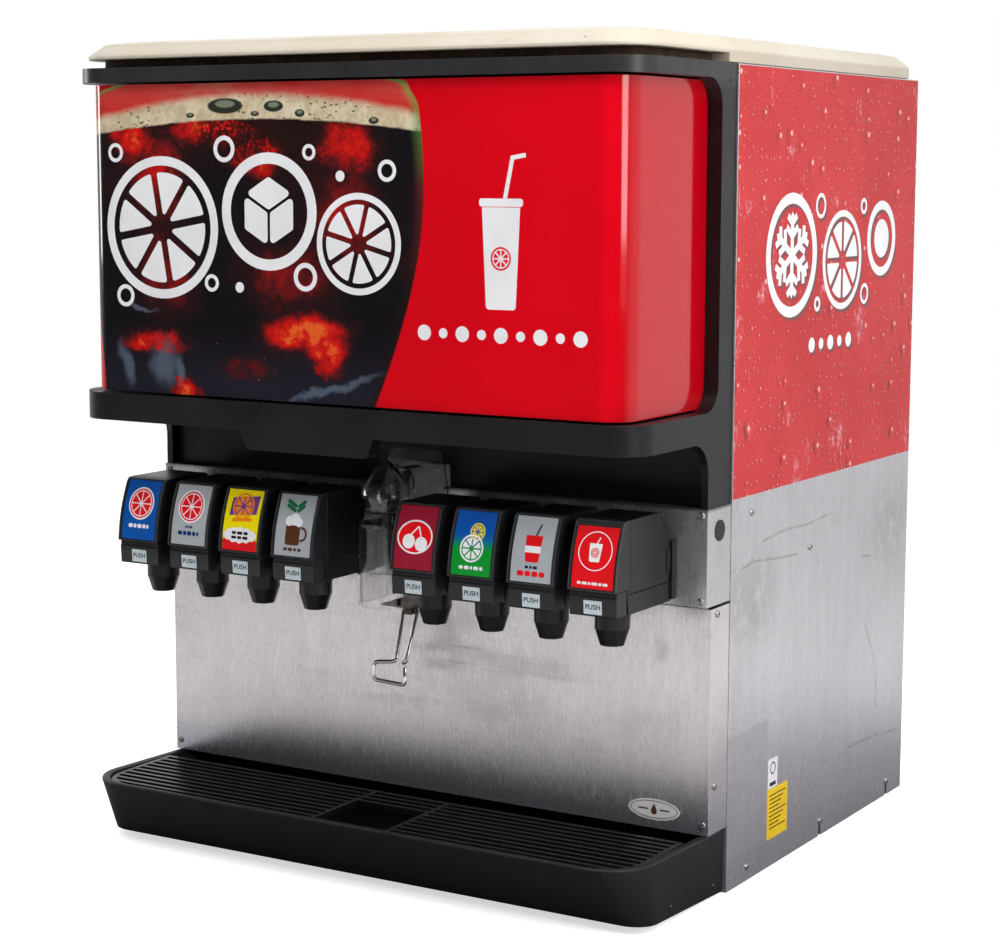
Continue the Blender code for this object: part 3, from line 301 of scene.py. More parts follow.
def side_marks(paint, x, y, z, base, gloss):
    """Runs of old dirt on the side panel, and the dull rectangle that a peeled label left."""
    marks = None
    for start, end in SIDE_MARKS:
        mark = line_mask(paint, y, z, start, end, SIDE_MARK_WIDTH)
        marks = mark if marks is None else paint.math("MAXIMUM", marks, mark)
    broken = paint.ramp(paint.noise(70.0, 3.0, seed=8), 0.30, 0.55)
    base = paint.mix(marks * broken * 0.5, base, (0.24, 0.20, 0.18))
    clouds = [
        paint.ramp(paint.far(y, z, middle, reach), 0.1, 1.0, strength, 0.0)
        for middle, reach, strength in SIDE_DARK_CLOUDS
    ]
    # Darker clouds on the steel, broken up by noise.
    dark_clouds = paint.math("MAXIMUM", *clouds)
    base = paint.mix(dark_clouds * broken, base, (0.30, 0.27, 0.27))
    back, foot, top = LABEL_SCAR
    patch = paint.ramp(y, back - 0.002, back + 0.002, 1.0, 0.0)
    ragged = z + (paint.noise(38.0, 4.0, 0.6, seed=11) - 0.5) * 0.018
    patch = patch * paint.ramp(ragged, top - 0.003, top + 0.003, 1.0, 0.0)
    patch = patch * paint.ramp(ragged, foot - 0.004, foot + 0.004)
    inside = paint.ramp(paint.noise(55.0, 5.0, 0.7, seed=12), 0.35, 0.65, 0.55, 1.0)
    base = paint.mix(patch * inside * 0.38, base, (0.33, 0.31, 0.32))
    return base, gloss + patch * 0.16


def splash_marks_and_reflection(paint, x, y, z, base, gloss):
    """Wiping marks on the panel behind the cups, darker bands under the chute, rubbed spots, and a painted
    reflection of the dark tray, bluish and darker along the panel's foot.
    """
    wiped = paint.ramp(paint.noise(9.0, 5.0, 0.7, stretch=(0.45, 1.0, 2.6), seed=21), 0.52, 0.74)
    base = paint.mix(wiped * 0.30, base, (0.46, 0.42, 0.43))
    for centre_x, centre_z, reach_x, reach_z, power in SPLASH_RUBS:
        reach = paint.far(x, z, (centre_x, centre_z), (reach_x, reach_z))
        grain = paint.ramp(paint.noise(60.0, 3.0, seed=22), 0.25, 0.60)
        rub = paint.ramp(reach, 0.2, 1.0, power, 0.0) * grain
        base = paint.mix(rub, base, (0.26, 0.22, 0.22))
    # Painted reflection of the dark tray below: bluish and darker along the panel's foot.
    low = paint.ramp(z, 0.085, 0.135, 1.0, 0.0)
    base = paint.mix(low * 0.6, base, (0.52, 0.56, 0.66))
    return base, gloss + wiped * 0.05


def panel_marks(paint, x, y, z, base, gloss):
    """The front panel's top lip, dull and brownish."""
    lip = paint.ramp(z, 0.4460, 0.4500) * paint.ramp(x, -0.33, 0.05, 0.70, 0.92)
    return paint.mix(lip, base, (0.13, 0.105, 0.10)), gloss + lip * 0.12


def spangled(name):
    """Galvanised sheet, in flakes of lighter and darker zinc."""
    paint = Paint(name)
    flakes = paint.cells(70.0)
    tone = paint.node("ShaderNodeSeparateColor", {0: flakes.outputs["Color"]}).outputs[0]
    base = paint.mix(tone, (0.36, 0.38, 0.40), (0.55, 0.57, 0.59))
    gloss = paint.ramp(paint.number(tone), 0.0, 1.0, 0.36, 0.55)
    return paint.finish(Base_Color=base, Roughness=gloss, Metallic=1.0)


def metal(name, colour, roughness, scale=45.0, depth=0.0001):
    """Plain metal with faint unevenness."""
    paint = Paint(name)
    cloud = paint.noise(scale, 5.0, 0.65)
    base = paint.mix(paint.ramp(cloud, 0.35, 0.7), colour, tuple(channel * 0.72 for channel in colour))
    gloss = paint.ramp(cloud, 0.3, 0.7, roughness - 0.04, roughness + 0.08)
    return paint.finish(Base_Color=base, Roughness=gloss, Metallic=1.0, Normal=paint.bump(cloud, depth, 0.25))


def bracket_brass():
    """Tarnished brass plate, brown but for its bright left corner."""
    paint = Paint("brass")
    x = paint.axes()[0]
    cloud = paint.noise(60.0, 5.0, 0.65)
    # The left corner, picked by its x place, is painted a bright gold; the rest stays dark brown.
    worn = paint.ramp(x + (cloud - 0.5) * 0.012, -0.030, -0.022, 1.0, 0.0)
    base = paint.mix(paint.ramp(cloud, 0.35, 0.7), (0.10, 0.070, 0.040), (0.065, 0.045, 0.028))
    base = paint.mix(worn, base, (0.62, 0.46, 0.24))
    gloss = paint.ramp(cloud, 0.3, 0.7, 0.30, 0.42)
    return paint.finish(Base_Color=base, Roughness=gloss, Metallic=0.9)


def clear_plastic():
    """The hood's clear plastic, hazy and streaked."""
    paint = Paint("chute_clear")
    haze = paint.noise(24.0, 5.0, 0.65)
    streaks = paint.noise(30.0, 4.0, 0.6, stretch=(1, 1, 0.25), seed=4)
    gloss = paint.ramp(haze, 0.45, 0.75, 0.03, 0.16) + paint.ramp(streaks, 0.6, 0.75) * 0.12
    base = paint.mix(paint.ramp(haze, 0.4, 0.8), (0.92, 0.915, 0.92), (0.84, 0.835, 0.84))
    return paint.finish(Base_Color=base, Roughness=gloss, Transmission_Weight=1.0, IOR=1.42)


def foam(name, colour):
    """Soft foam strip, full of pores."""
    paint = Paint(name)
    pores = paint.number(paint.cells(900.0).outputs["Distance"])
    base = paint.mix(paint.ramp(paint.noise(60.0), 0.35, 0.7), colour, tuple(c * 1.9 for c in colour))
    return paint.finish(Base_Color=base, Roughness=0.95, Normal=paint.bump(pores, 0.0004, 0.8))


def cream_plastic():
    """Pale roto-moulded plastic, yellowed, with dark specks, a few stains, and painted shade along its lower
    edge.
    """
    paint = Paint("lid_cream")
    z = paint.axes()[2]
    cloud = paint.noise(6.0, 5.0, 0.6, seed=2)
    specks = paint.number(paint.cells(55.0, seed=5).outputs["Distance"])
    few = paint.ramp(paint.noise(13.0, 2.0, seed=6), 0.56, 0.62)
    stain = paint.ramp(paint.noise(20.0, 5.0, 0.7, stretch=(1, 1, 3), seed=9), 0.60, 0.76)
    base = paint.mix(paint.ramp(cloud, 0.35, 0.65), (0.63, 0.575, 0.48), (0.575, 0.51, 0.405))
    base = paint.mix(paint.ramp(specks, 0.05, 0.09, 1.0, 0.0) * few * 0.8, base, (0.20, 0.16, 0.12))
    base = paint.mix(stain * 0.35, base, (0.45, 0.36, 0.26))
    # Painted shade: darker and browner on the lid's lower edge and on the skirt below it.
    shaded_low_edge = paint.ramp(z, 0.9455, 0.9500, 0.35, 0.0)
    base = paint.mix(shaded_low_edge, base, (0.40, 0.33, 0.25))
    fine = paint.noise(260.0, 3.0)
    gloss = paint.ramp(cloud, 0.3, 0.7, 0.38, 0.52)
    return paint.finish(Base_Color=base, Roughness=gloss, Normal=paint.bump(fine, 0.00008, 0.3))


def print_ink(name, colour, roughness=0.32):
    """Printed ink: even, with faint specks of wear."""
    paint = Paint(name)
    wear = paint.ramp(paint.noise(160.0, 4.0, 0.7), 0.66, 0.76)
    cloud = paint.ramp(paint.noise(18.0), 0.35, 0.65)
    base = paint.mix(cloud, colour, tuple(channel * 0.93 for channel in colour))
    base = paint.mix(wear * 0.25, base, (0.45, 0.44, 0.43))
    return paint.finish(Base_Color=base, Roughness=roughness, Specular_IOR_Level=0.35)


def faded_ink(name, low, high, start, end):
    """Ink that goes from one colour to another with height."""
    paint = Paint(name)
    z = paint.axes()[2]
    ragged = z + (paint.noise(90.0, 3.0) - 0.5) * 0.004
    base = paint.mix(paint.ramp(ragged, low, high), start, end)
    return paint.finish(Base_Color=base, Roughness=0.30)


def drops(paint, y, z, scale, seed, keep):
    """(shadow, sheen, glint) of round drops, one in some of the cells of a grid of that scale."""
    flat = paint.node("ShaderNodeCombineXYZ", {0: y + seed * 1.7, 1: z + seed * 0.9}).outputs[0]
    feeds = {"Vector": flat, "Scale": scale, "Randomness": 0.9}
    cells = paint.node("ShaderNodeTexVoronoi", feeds, voronoi_dimensions="2D")
    tone = paint.node("ShaderNodeSeparateColor", {0: cells.outputs["Color"]})
    chance, size = (paint.number(tone.outputs[index]) for index in (0, 1))
    middle = paint.node("ShaderNodeVectorMath", {0: flat, 1: cells.outputs["Position"]}, operation="SUBTRACT")
    split = paint.node("ShaderNodeSeparateXYZ", {0: middle.outputs[0]})
    radius = paint.ramp(size, 0.0, 1.0, 0.14, 0.40)
    across = paint.number(split.outputs[0]) * scale / radius
    up = paint.number(split.outputs[1]) * scale / radius
    reach = paint.math("SQRT", across * across + up * up)
    chosen = paint.ramp(chance, keep - 0.01, keep + 0.01, 1.0, 0.0)
    inside = paint.ramp(reach, 0.85, 1.05, 1.0, 0.0) * chosen
    shadow = inside * paint.ramp(across + up * 0.25, -0.75, -0.05, 1.0, 0.0)
    sheen = inside * paint.ramp(across - up * 0.30, 0.10, 0.80)
    to_glint = paint.far(across, up, (0.25, 0.15), (0.30, 0.30))
    return shadow, sheen, paint.ramp(to_glint, 0.55, 1.0, 1.0, 0.0) * chosen


# Drops of water, from small to large: scale of their grid, seed, share of its cells that hold one, strength.
DROP_SIZES = ((190.0, 41, 0.60, 0.55), (85.0, 42, 0.50, 0.85), (30.0, 43, 0.34, 1.0))


def decal_print():
    """The side panels' red print, beaded with drops of water and patches of frost."""
    paint = Paint("side_print")
    y, z = paint.axes()[1:]
    cloud = paint.noise(5.0, 5.0, 0.6, seed=31)
    base = paint.mix(paint.ramp(cloud, 0.35, 0.65), (0.50, 0.014, 0.018), (0.58, 0.026, 0.030))
    low = paint.ramp(z, 0.50, 0.78, 1.0, 0.45)
    for scale, seed, keep, strength in DROP_SIZES:
        shadow, sheen, glint = drops(paint, y, z, scale, seed, keep)
        base = paint.mix(sheen * low * strength * 0.30, base, (0.72, 0.13, 0.13))
        base = paint.mix(shadow * low * strength * 0.80, base, (0.13, 0.006, 0.012))
        base = paint.mix(glint * strength * 0.85, base, (0.84, 0.50, 0.46))
    frost = paint.ramp(paint.noise(11.0, 2.0, seed=51), 0.62, 0.70)
    frost = frost * paint.ramp(paint.noise(130.0, 4.0, 0.8, stretch=(1, 1, 0.5), seed=52), 0.50, 0.64)
    base = paint.mix(frost * 0.70, base, (0.80, 0.45, 0.52))
    soot = paint.ramp(paint.noise(90.0, 4.0, 0.7, seed=54), 0.60, 0.72) * paint.ramp(z, 0.78, 0.92)
    base = paint.mix(soot * 0.6, base, (0.12, 0.01, 0.015))
    return paint.finish(Base_Color=base, Roughness=0.45, Specular_IOR_Level=0.30)


# Where the panel's print puts things: (x, z) places on its front, x from the middle of the print, which is
# PRINT_SHIFT to the right of the panel's own middle.
PRINT_SHIFT = 0.0155
GLASS_TOP_EDGE = 0.0995
GLASS_CURVE = 0.9
GLASS_MIDDLE = -0.130
# Heights at the glass's middle of its rim, the foam's top and the foam's base, each with how far it bows.
GLASS_RIM = (0.9386, 0.64)
FOAM_TOP = (0.9020, 0.48)
FOAM_BASE = (0.8755, 0.30)
# Warm light through the ice: x, z, reach along x, reach along z, strength.
GLOWS = (
    (-0.302, 0.852, 0.034, 0.022, 1.0),
    (-0.185, 0.862, 0.080, 0.020, 0.78),
    (-0.125, 0.836, 0.044, 0.026, 0.85),
    (0.000, 0.845, 0.046, 0.034, 1.02),
    (-0.262, 0.800, 0.044, 0.060, 0.46),
    (0.000, 0.770, 0.050, 0.060, 0.40),
    (-0.262, 0.700, 0.052, 0.060, 0.42),
    (-0.085, 0.700, 0.075, 0.040, 0.44),
    (-0.275, 0.619, 0.056, 0.013, 0.88),
    (-0.062, 0.636, 0.064, 0.024, 0.86),
    (-0.026, 0.612, 0.034, 0.026, 0.82),
    (-0.232, 0.566, 0.034, 0.018, 0.90),
    (-0.147, 0.592, 0.044, 0.018, 0.48),
)
# Pale edges of ice: x, z, reach along x, reach along z, turn in degrees.
ICE = (
    (-0.318, 0.590, 0.012, 0.034, 18),
    (-0.262, 0.596, 0.022, 0.030, -6),
    (-0.238, 0.588, 0.010, 0.026, 10),
    (-0.030, 0.574, 0.090, 0.006, 14),
    (-0.300, 0.655, 0.030, 0.004, -4),
)
# Large bubbles in the foam: x, z, reach along x, reach along z.
FOAM_HOLES = (
    (-0.168, 0.890, 0.026, 0.0090),
    (-0.100, 0.889, 0.014, 0.0065),
    (-0.064, 0.881, 0.007, 0.0045),
    (-0.126, 0.881, 0.006, 0.0030),
    (-0.218, 0.880, 0.006, 0.0030),
    (0.035, 0.872, 0.007, 0.0040),
)


def cola(paint, x, z):
    """The drink: nearly black, lit from behind through the ice."""
    wx = x + (paint.noise(20.0, 5.0, 0.6, seed=61) - 0.5) * 0.045
    wz = z + (paint.noise(20.0, 5.0, 0.6, seed=62) - 0.5) * 0.045
    glow = None
    for centre_x, centre_z, reach_x, reach_z, power in GLOWS:
        spot = paint.ramp(paint.far(wx, wz, (centre_x, centre_z), (reach_x, reach_z)), 0.25, 1.30, power, 0.0)
        glow = spot if glow is None else paint.math("MAXIMUM", glow, spot)
    facets = paint.cells(20.0, seed=63, stretch=(1.0, 0.0, 1.3))
    facet = paint.node("ShaderNodeSeparateColor", {0: facets.outputs["Color"]}).outputs[0]
    glow = glow * paint.ramp(paint.number(facet), 0.0, 1.0, 0.70, 1.12)
    glow = glow * paint.ramp(paint.noise(55.0, 6.0, 0.72, seed=64), 0.32, 0.66, 0.55, 1.12)
    glow = glow + paint.ramp(paint.noise(11.0, 4.0, 0.6, seed=65), 0.45, 0.75) * 0.14
    colour = paint.shades(
        glow,
        (0.0, (0.006, 0.005, 0.007)),
        (0.20, (0.030, 0.006, 0.007)),
        (0.40, (0.17, 0.008, 0.008)),
        (0.58, (0.50, 0.006, 0.006)),
        (0.82, (0.70, 0.016, 0.008)),
        (0.96, (0.80, 0.12, 0.020)),
    )
    deep = paint.ramp(z, 0.560, 0.640, 1.0, 0.0) * paint.ramp(glow, 0.10, 0.40, 1.0, 0.0)
    colour = paint.mix(deep * 0.8, colour, (0.016, 0.016, 0.028))
    for centre_x, centre_z, reach_x, reach_z, degrees in ICE:
        reach = paint.far(wx, wz, (centre_x, centre_z), (reach_x, reach_z), degrees)
        pale = paint.ramp(reach, 0.30, 1.15, 0.55, 0.0) * paint.ramp(glow, 0.35, 0.65, 1.0, 0.15)
        colour = paint.mix(pale, colour, (0.14, 0.18, 0.25))
    beads = paint.number(paint.cells(210.0, seed=66, stretch=(1, 0, 1)).outputs["Distance"])
    near_top = paint.ramp(z, 0.795, 0.850) * paint.ramp(x, -0.235, -0.190) * paint.ramp(x, 0.0, -0.05)
    colour = paint.mix(paint.ramp(beads, 0.30, 0.55) * near_top * 0.85, colour, (0.020, 0.005, 0.004))
    sparks = paint.number(paint.cells(80.0, seed=67, stretch=(1, 0, 1)).outputs["Distance"])
    spark = paint.ramp(sparks, 0.04, 0.11, 1.0, 0.0) * paint.ramp(paint.noise(14.0, 2.0, seed=68), 0.54, 0.64)
    return paint.mix(spark * 0.7, colour, (0.60, 0.10, 0.02))


def froth(paint, x, z):
    """The band of foam, its colour."""
    mottle = paint.noise(60.0, 5.0, 0.7, seed=71)
    colour = paint.mix(paint.ramp(mottle, 0.35, 0.65), (0.76, 0.66, 0.47), (0.55, 0.44, 0.28))
    small = paint.cells(120.0, seed=72, stretch=(1, 0, 1.7))
    hole = paint.ramp(paint.number(small.outputs["Distance"]), 0.18, 0.28, 1.0, 0.0)
    hole = hole * paint.ramp(paint.noise(22.0, 3.0, seed=73), 0.50, 0.58)
    colour = paint.mix(hole * 0.85, colour, (0.06, 0.05, 0.03))
    for centre_x, centre_z, reach_x, reach_z in FOAM_HOLES:
        reach = paint.far(x, z, (centre_x, centre_z), (reach_x, reach_z))
        colour = paint.mix(paint.ramp(reach, 0.88, 1.04, 1.0, 0.0), colour, (0.030, 0.034, 0.022))
        inner = paint.far(x, z, (centre_x, centre_z + reach_z * 0.25), (reach_x * 0.62, reach_z * 0.55))
        colour = paint.mix(paint.ramp(inner, 0.70, 1.0, 1.0, 0.0), colour, (0.20, 0.23, 0.16))
    return colour


def panel_print():
    """The merchandiser's glossy print: a glass of iced cola from the left, and plain red beyond it."""
    paint = Paint("panel_print")
    across, y, z = paint.axes()
    x = across - PRINT_SHIFT
    red = (0.74, 0.0, 0.009)
    from_middle = x - GLASS_MIDDLE
    arch = from_middle * from_middle
    rim, foam_top, foam_base = (height - arch * bow for height, bow in (GLASS_RIM, FOAM_TOP, FOAM_BASE))
    foam_top = foam_top + (paint.noise(26.0, 4.0, 0.6, seed=81) - 0.5) * 0.008
    foam_base = foam_base + (paint.noise(45.0, 4.0, 0.6, seed=82) - 0.5) * 0.004
    fallen = 0.8000 - z
    right_edge = GLASS_TOP_EDGE - fallen * fallen * GLASS_CURVE + paint.ramp(z, 0.55, 0.80, -0.012, 0.0)
    right_edge = right_edge - paint.ramp(z, 0.886, 0.914, 0.0, 0.010)

    drink = cola(paint, x, z)
    low = paint.ramp(z - foam_base, -0.0016, 0.0012)
    colour = paint.mix(low, drink, froth(paint, x, z))
    behind = paint.shades(
        paint.noise(9.0, 3.0, 0.6, stretch=(1.0, 1.0, 3.0), seed=83),
        (0.30, (0.60, 0.02, 0.02)),
        (0.55, (0.62, 0.06, 0.05)),
        (0.75, (0.56, 0.20, 0.14)),
    )
    colour = paint.mix(paint.ramp(z - foam_top, -0.0060, 0.0060), colour, behind)
    wall = paint.ramp(right_edge - x, 0.0, 0.016, 1.0, 0.0)
    wall_colour = paint.shades(
        z * 4.0 - 2.75,
        (0.0, (0.02, 0.006, 0.006)),
        (0.45, (0.16, 0.02, 0.02)),
        (0.70, (0.07, 0.22, 0.04)),
        (0.90, (0.10, 0.42, 0.07)),
    )
    colour = paint.mix(wall * 0.65, colour, wall_colour)
    thin = paint.ramp(abs(z - rim), 0.0008, 0.0026, 1.0, 0.0)
    colour = paint.mix(thin * 0.85, colour, (0.12, 0.36, 0.07))
    inside = paint.ramp(right_edge - x, -0.0010, 0.0010) * paint.ramp(rim - z, -0.0030, -0.0010)
    round_corner = across * 0.66 - y * 0.75 + 0.0745 - paint.ramp(z, 0.558, 0.700, 0.0180, 0.0)
    inside = inside * paint.ramp(round_corner, -0.0005, 0.0005)
    tone = paint.ramp(paint.noise(4.0, 2.0, seed=84), 0.35, 0.65)
    plain = paint.mix(tone, red, (0.68, 0.0, 0.007))
    # Painted shade: the red darkens round the right corner and over the right side, under the sheen that the
    # side light lays there.
    plain = paint.mix(paint.ramp(across, 0.338, 0.3605), plain, (0.46, 0.0, 0.006))
    colour = paint.mix(inside, plain, colour)
    smears = paint.noise(14.0, 5.0, 0.7, seed=85, warp=0.4)
    shine = paint.ramp(across, -0.3510, -0.3350, 0.01, 0.5)
    gloss = paint.ramp(smears, 0.45, 0.75, 0.09, 0.17)
    return paint.finish(Base_Color=colour, Roughness=gloss, Specular_IOR_Level=shine, IOR=1.5)


BLACK = moulded("black_plastic", (0.0060, 0.0060, 0.0068), 0.34, 0.34, scuffs=0.08)
BLACK_FACE = moulded("face_black", (0.0140, 0.0142, 0.0160), 0.36, 0.34, scuffs=0.10, seed=7)
# The covers' rims are a lighter black: a painted highlight along the fascias' rounded edges.
BLACK_RIM_HIGHLIGHT = moulded("rim_black_highlight", (0.0420, 0.0430, 0.0460), 0.30, 0.50, seed=9)
# The frame's top rail carries a painted reflection, lighter grey, in its colour.
BLACK_FRAME = moulded(
    "frame_black", (0.0055, 0.0054, 0.0060), 0.34, 0.34, scuffs=0.12, seed=3, extra=rail_sheen
)
BLACK_TRAY = moulded("tray_black", (0.0115, 0.0115, 0.0125), 0.46, 0.28, scuffs=0.10, seed=5)
BLACK_GRID = moulded("grid_black", (0.0060, 0.0060, 0.0068), 0.30, 0.45, scuffs=0.10, seed=6)
WHITE_PLASTIC = moulded("white_plastic", (0.76, 0.76, 0.73), 0.42, mottle=0.04)
SIDE_STEEL = brushed("side_steel", (0.70, 0.685, 0.72), (1.0, 1.0, 0.12), 0.27, 0.45, 1, side_marks)
SPLASH_STEEL = brushed("splash_steel", (0.78, 0.735, 0.745), (1.0, 0.12, 0.12), 0.25, 0.55, 2, splash_marks_and_reflection)
PANEL_STEEL = brushed("front_steel", (0.66, 0.64, 0.64), (1.0, 0.12, 0.12), 0.26, 0.7, 3, panel_marks)
REAR_STEEL = brushed("rear_steel", (0.56, 0.56, 0.57), (1.0, 1.0, 0.05), 0.36, 0.3, 4)
PLAIN_STEEL = metal("plain_steel", (0.60, 0.60, 0.61), 0.30)
SCREW_STEEL = metal("screw_steel", (0.50, 0.48, 0.47), 0.22, 300.0, 0.00003)
SCREW_DARK = metal("screw_dark", (0.10, 0.10, 0.10), 0.30, 300.0, 0.00003)
CHROME = metal("lever_wire", (0.78, 0.76, 0.74), 0.13, 80.0, 0.00003)
GALVANISED = spangled("galvanised")
ALUMINIUM = metal("cast_aluminium", (0.68, 0.69, 0.71), 0.42, 120.0, 0.0003)
BRASS = bracket_brass()
LAMP_GLASS = moulded("lamp_glass", (0.90, 0.92, 0.94), 0.18, mottle=0.02)
CREAM = cream_plastic()
CLEAR = clear_plastic()
DARK_FOAM = foam("dark_foam", (0.045, 0.024, 0.015))
PANEL_PRINT = panel_print()
SIDE_PRINT = decal_print()


def inks():
    """The plain printing inks, by name."""
    colours = {
        "white": (0.88, 0.88, 0.90),
        "paper": (0.62, 0.70, 0.74),
        "word": (0.025, 0.030, 0.040),
        "blue": (0.0, 0.090, 0.420),
        "deep_blue": (0.0, 0.030, 0.160),
        "silver": (0.42, 0.45, 0.48),
        "yellow": (0.95, 0.78, 0.0),
        "label_yellow": (1.0, 0.66, 0.0),
        "purple": (0.17, 0.045, 0.26),
        "orange": (0.93, 0.26, 0.01),
        "red": (0.80, 0.005, 0.010),
        "dark_red": (0.33, 0.008, 0.030),
        "leaf": (0.01, 0.16, 0.07),
        "brown": (0.10, 0.030, 0.012),
        "black": (0.010, 0.010, 0.012),
        "shadow": (0.16, 0.035, 0.040),
    }
    return {name: print_ink(f"ink_{name}", colour) for name, colour in colours.items()}


INKS = inks()
INKS["blue_green"] = faded_ink("ink_blue_green", 0.404, 0.424, (0.0, 0.30, 0.025), (0.0, 0.085, 0.43))


# --- shapes ---


def mesh_of(bm, name):
    """A mesh made of the bmesh, facing outwards."""
    bmesh.ops.recalc_face_normals(bm, faces=bm.faces)
    mesh = bpy.data.meshes.new(name)
    bm.to_mesh(mesh)
    bm.free()
    return mesh


def lofted(rings, name="loft"):
    """A solid through rings of equally many points, with flat ends."""
    bm = bmesh.new()
    loops = [[bm.verts.new(point) for point in ring] for ring in rings]
    for lower, upper in zip(loops, loops[1:]):
        for index in range(len(lower)):
            after = (index + 1) % len(lower)
            bm.faces.new((lower[index], lower[after], upper[after], upper[index]))
    bm.faces.new(loops[0])
    bm.faces.new(loops[-1])
    return mesh_of(bm, name)


PLANES = {
    "XY": lambda across, up, along: (across, up, along),
    "YZ": lambda across, up, along: (along, across, up),
    "XZ": lambda across, up, along: (across, along, up),
}


def prism(plane, outline, start, end, name="prism"):
    """A flat outline in the plane, made thick from start to end across it."""
    point = PLANES[plane]
    return lofted([[point(across, up, along) for across, up in outline] for along in (start, end)], name)


def block(low, high, name="block"):
    """A box between two corners."""
    outline = ((low[0], low[1]), (high[0], low[1]), (high[0], high[1]), (low[0], high[1]))
    return prism("XY", outline, low[2], high[2], name)


def rounded(corners, steps=12):
    """The outline through (x, y, radius) corners, each with a radius turned into an arc."""
    points = []
    for index, (x, y, radius) in enumerate(corners):
        corner = Vector((x, y))
        if not radius:
            points.append((x, y))
            continue
        before = (Vector(corners[index - 1][:2]) - corner).normalized()
        after = (Vector(corners[(index + 1) % len(corners)][:2]) - corner).normalized()
        half = before.angle(after) / 2
        centre = corner + (before + after).normalized() * radius / math.sin(half)
        first = corner + before * radius / math.tan(half) - centre
        last = corner + after * radius / math.tan(half) - centre
        start = math.atan2(first.y, first.x)
        sweep = math.atan2(last.y, last.x) - start
        sweep = (sweep + math.pi) % math.tau - math.pi
        for step in range(steps + 1):
            angle = start + sweep * step / steps
            points.append((centre.x + radius * math.cos(angle), centre.y + radius * math.sin(angle)))
    return points


def flowing(points, steps=4):
    """A smooth line through points of any size."""
    points = [Vector(point) for point in points]
    ends = [points[0] * 2 - points[1], *points, points[-1] * 2 - points[-2]]
    line = []
    for a, b, c, d in zip(ends, ends[1:], ends[2:], ends[3:]):
        for step in range(steps):
            t = step / steps
            pull = (c - a) * t + (a * 2 - b * 5 + c * 4 - d) * t * t + (b * 3 - a - c * 3 + d) * t ** 3
            line.append(b + pull / 2)
    line.append(points[-1])
    return line


def bent(corners, radius, steps=8):
    """The route through corners, each inner one turned into a smooth bend."""
    route = [Vector(corners[0])]
    for before, corner, after in zip(corners, corners[1:], corners[2:]):
        corner = Vector(corner)
        start = corner + (Vector(before) - corner).normalized() * radius
        end = corner + (Vector(after) - corner).normalized() * radius
        for step in range(steps + 1):
            t = step / steps
            route.append(start.lerp(corner, t).lerp(corner.lerp(end, t), t))
    route.append(Vector(corners[-1]))
    return route


def tube(route, radius, name="tube", sides=16):
    """A round bar along a route, with rounded ends."""
    rings = []
    side = None
    for index, point in enumerate(route):
        ahead = (route[min(index + 1, len(route) - 1)] - route[max(index - 1, 0)]).normalized()
        side = ahead.orthogonal() if side is None else side
        side = (side - ahead * side.dot(ahead)).normalized()
        up = ahead.cross(side)
        turns = [math.tau * step / sides for step in range(sides)]
        rings.append([point + (side * math.cos(a) + up * math.sin(a)) * radius for a in turns])
    for index, end in ((0, rings[0]), (-1, rings[-1])):
        middle = route[index]
        ahead = (route[index] - route[1 if index == 0 else -2]).normalized()
        cap = [middle + (point - middle) * 0.6 + ahead * radius * 0.5 for point in end]
        rings.insert(0 if index == 0 else len(rings), cap)
    return lofted(rings, name)


def turned(profile, centre, axis=(0, 0, 1), sides=32, name="turned"):
    """A (radius, height) profile, from one end to the other, turned about an axis through the centre."""
    turn = Vector((0, 0, 1)).rotation_difference(Vector(axis)).to_matrix()
    rings = []
    for radius, height in profile:
        angles = [math.tau * step / sides for step in range(sides)]
        ring = [Vector((radius * math.cos(a), radius * math.sin(a), height)) for a in angles]
        rings.append([turn @ point + Vector(centre) for point in ring])
    return lofted(rings, name)


def combined(mesh, others, operation):
    """The mesh with the others cut from it, joined to it, or kept only where they meet."""
    scene = bpy.context.scene.collection
    target = bpy.data.objects.new("target", mesh)
    scene.objects.link(target)
    tools = []
    for other in others:
        tool = bpy.data.objects.new("tool", other)
        scene.objects.link(tool)
        modifier = target.modifiers.new("combine", "BOOLEAN")
        modifier.operation = operation
        modifier.solver = "EXACT"
        modifier.object = tool
        tools.append(tool)
    shape = target.evaluated_get(bpy.context.evaluated_depsgraph_get())
    made = bpy.data.meshes.new_from_object(shape)
    for used in (target, *tools):
        bpy.data.objects.remove(used)
    return made


def solid_of(node):
    """A CAD node's mesh with its split corners welded and its flat faces made whole."""
    bm = bmesh.new()
    bm.from_mesh(nodes[node].data)
    bmesh.ops.remove_doubles(bm, verts=bm.verts, dist=0.00001)
    bmesh.ops.dissolve_limit(bm, angle_limit=math.radians(0.2), verts=bm.verts, edges=bm.edges)
    mesh = mesh_of(bm, node)
    mesh.transform(TO_ROW.inverted())
    return mesh


# --- pieces ---


def piece(name, mesh, body, materials, slot, replaces=(), edge=0.0, smooth=35, segments=2):
    """An object made of the mesh, riding on the body. An edge rounds its sharp edges by that much."""
    mesh.transform(TO_ROW)
    mesh.name = name
    for material in materials if isinstance(materials, list) else [materials]:
        mesh.materials.append(material)
    mesh.shade_smooth()
    mesh.set_sharp_from_angle(angle=math.radians(smooth))
    obj = bpy.data.objects.new(name, mesh)
    bpy.context.scene.collection.objects.link(obj)
    if edge:
        rounding = obj.modifiers.new("rounding", "BEVEL")
        rounding.width = edge
        rounding.segments = segments
        rounding.limit_method = "ANGLE"
        rounding.angle_limit = math.radians(smooth)
        rounding.harden_normals = True
    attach(obj, body)
    if replaces:
        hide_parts(*replaces)
    return obj


def refined(node, material, slot, body="cabinet", edge=0.0004, smooth=35):
    """The CAD node's own shape, with its edges rounded."""
    return piece(f"{node}_look", solid_of(node), body, material, slot, (node,), edge, smooth)


# --- flat art: outlines in metres, as lists of faces ---


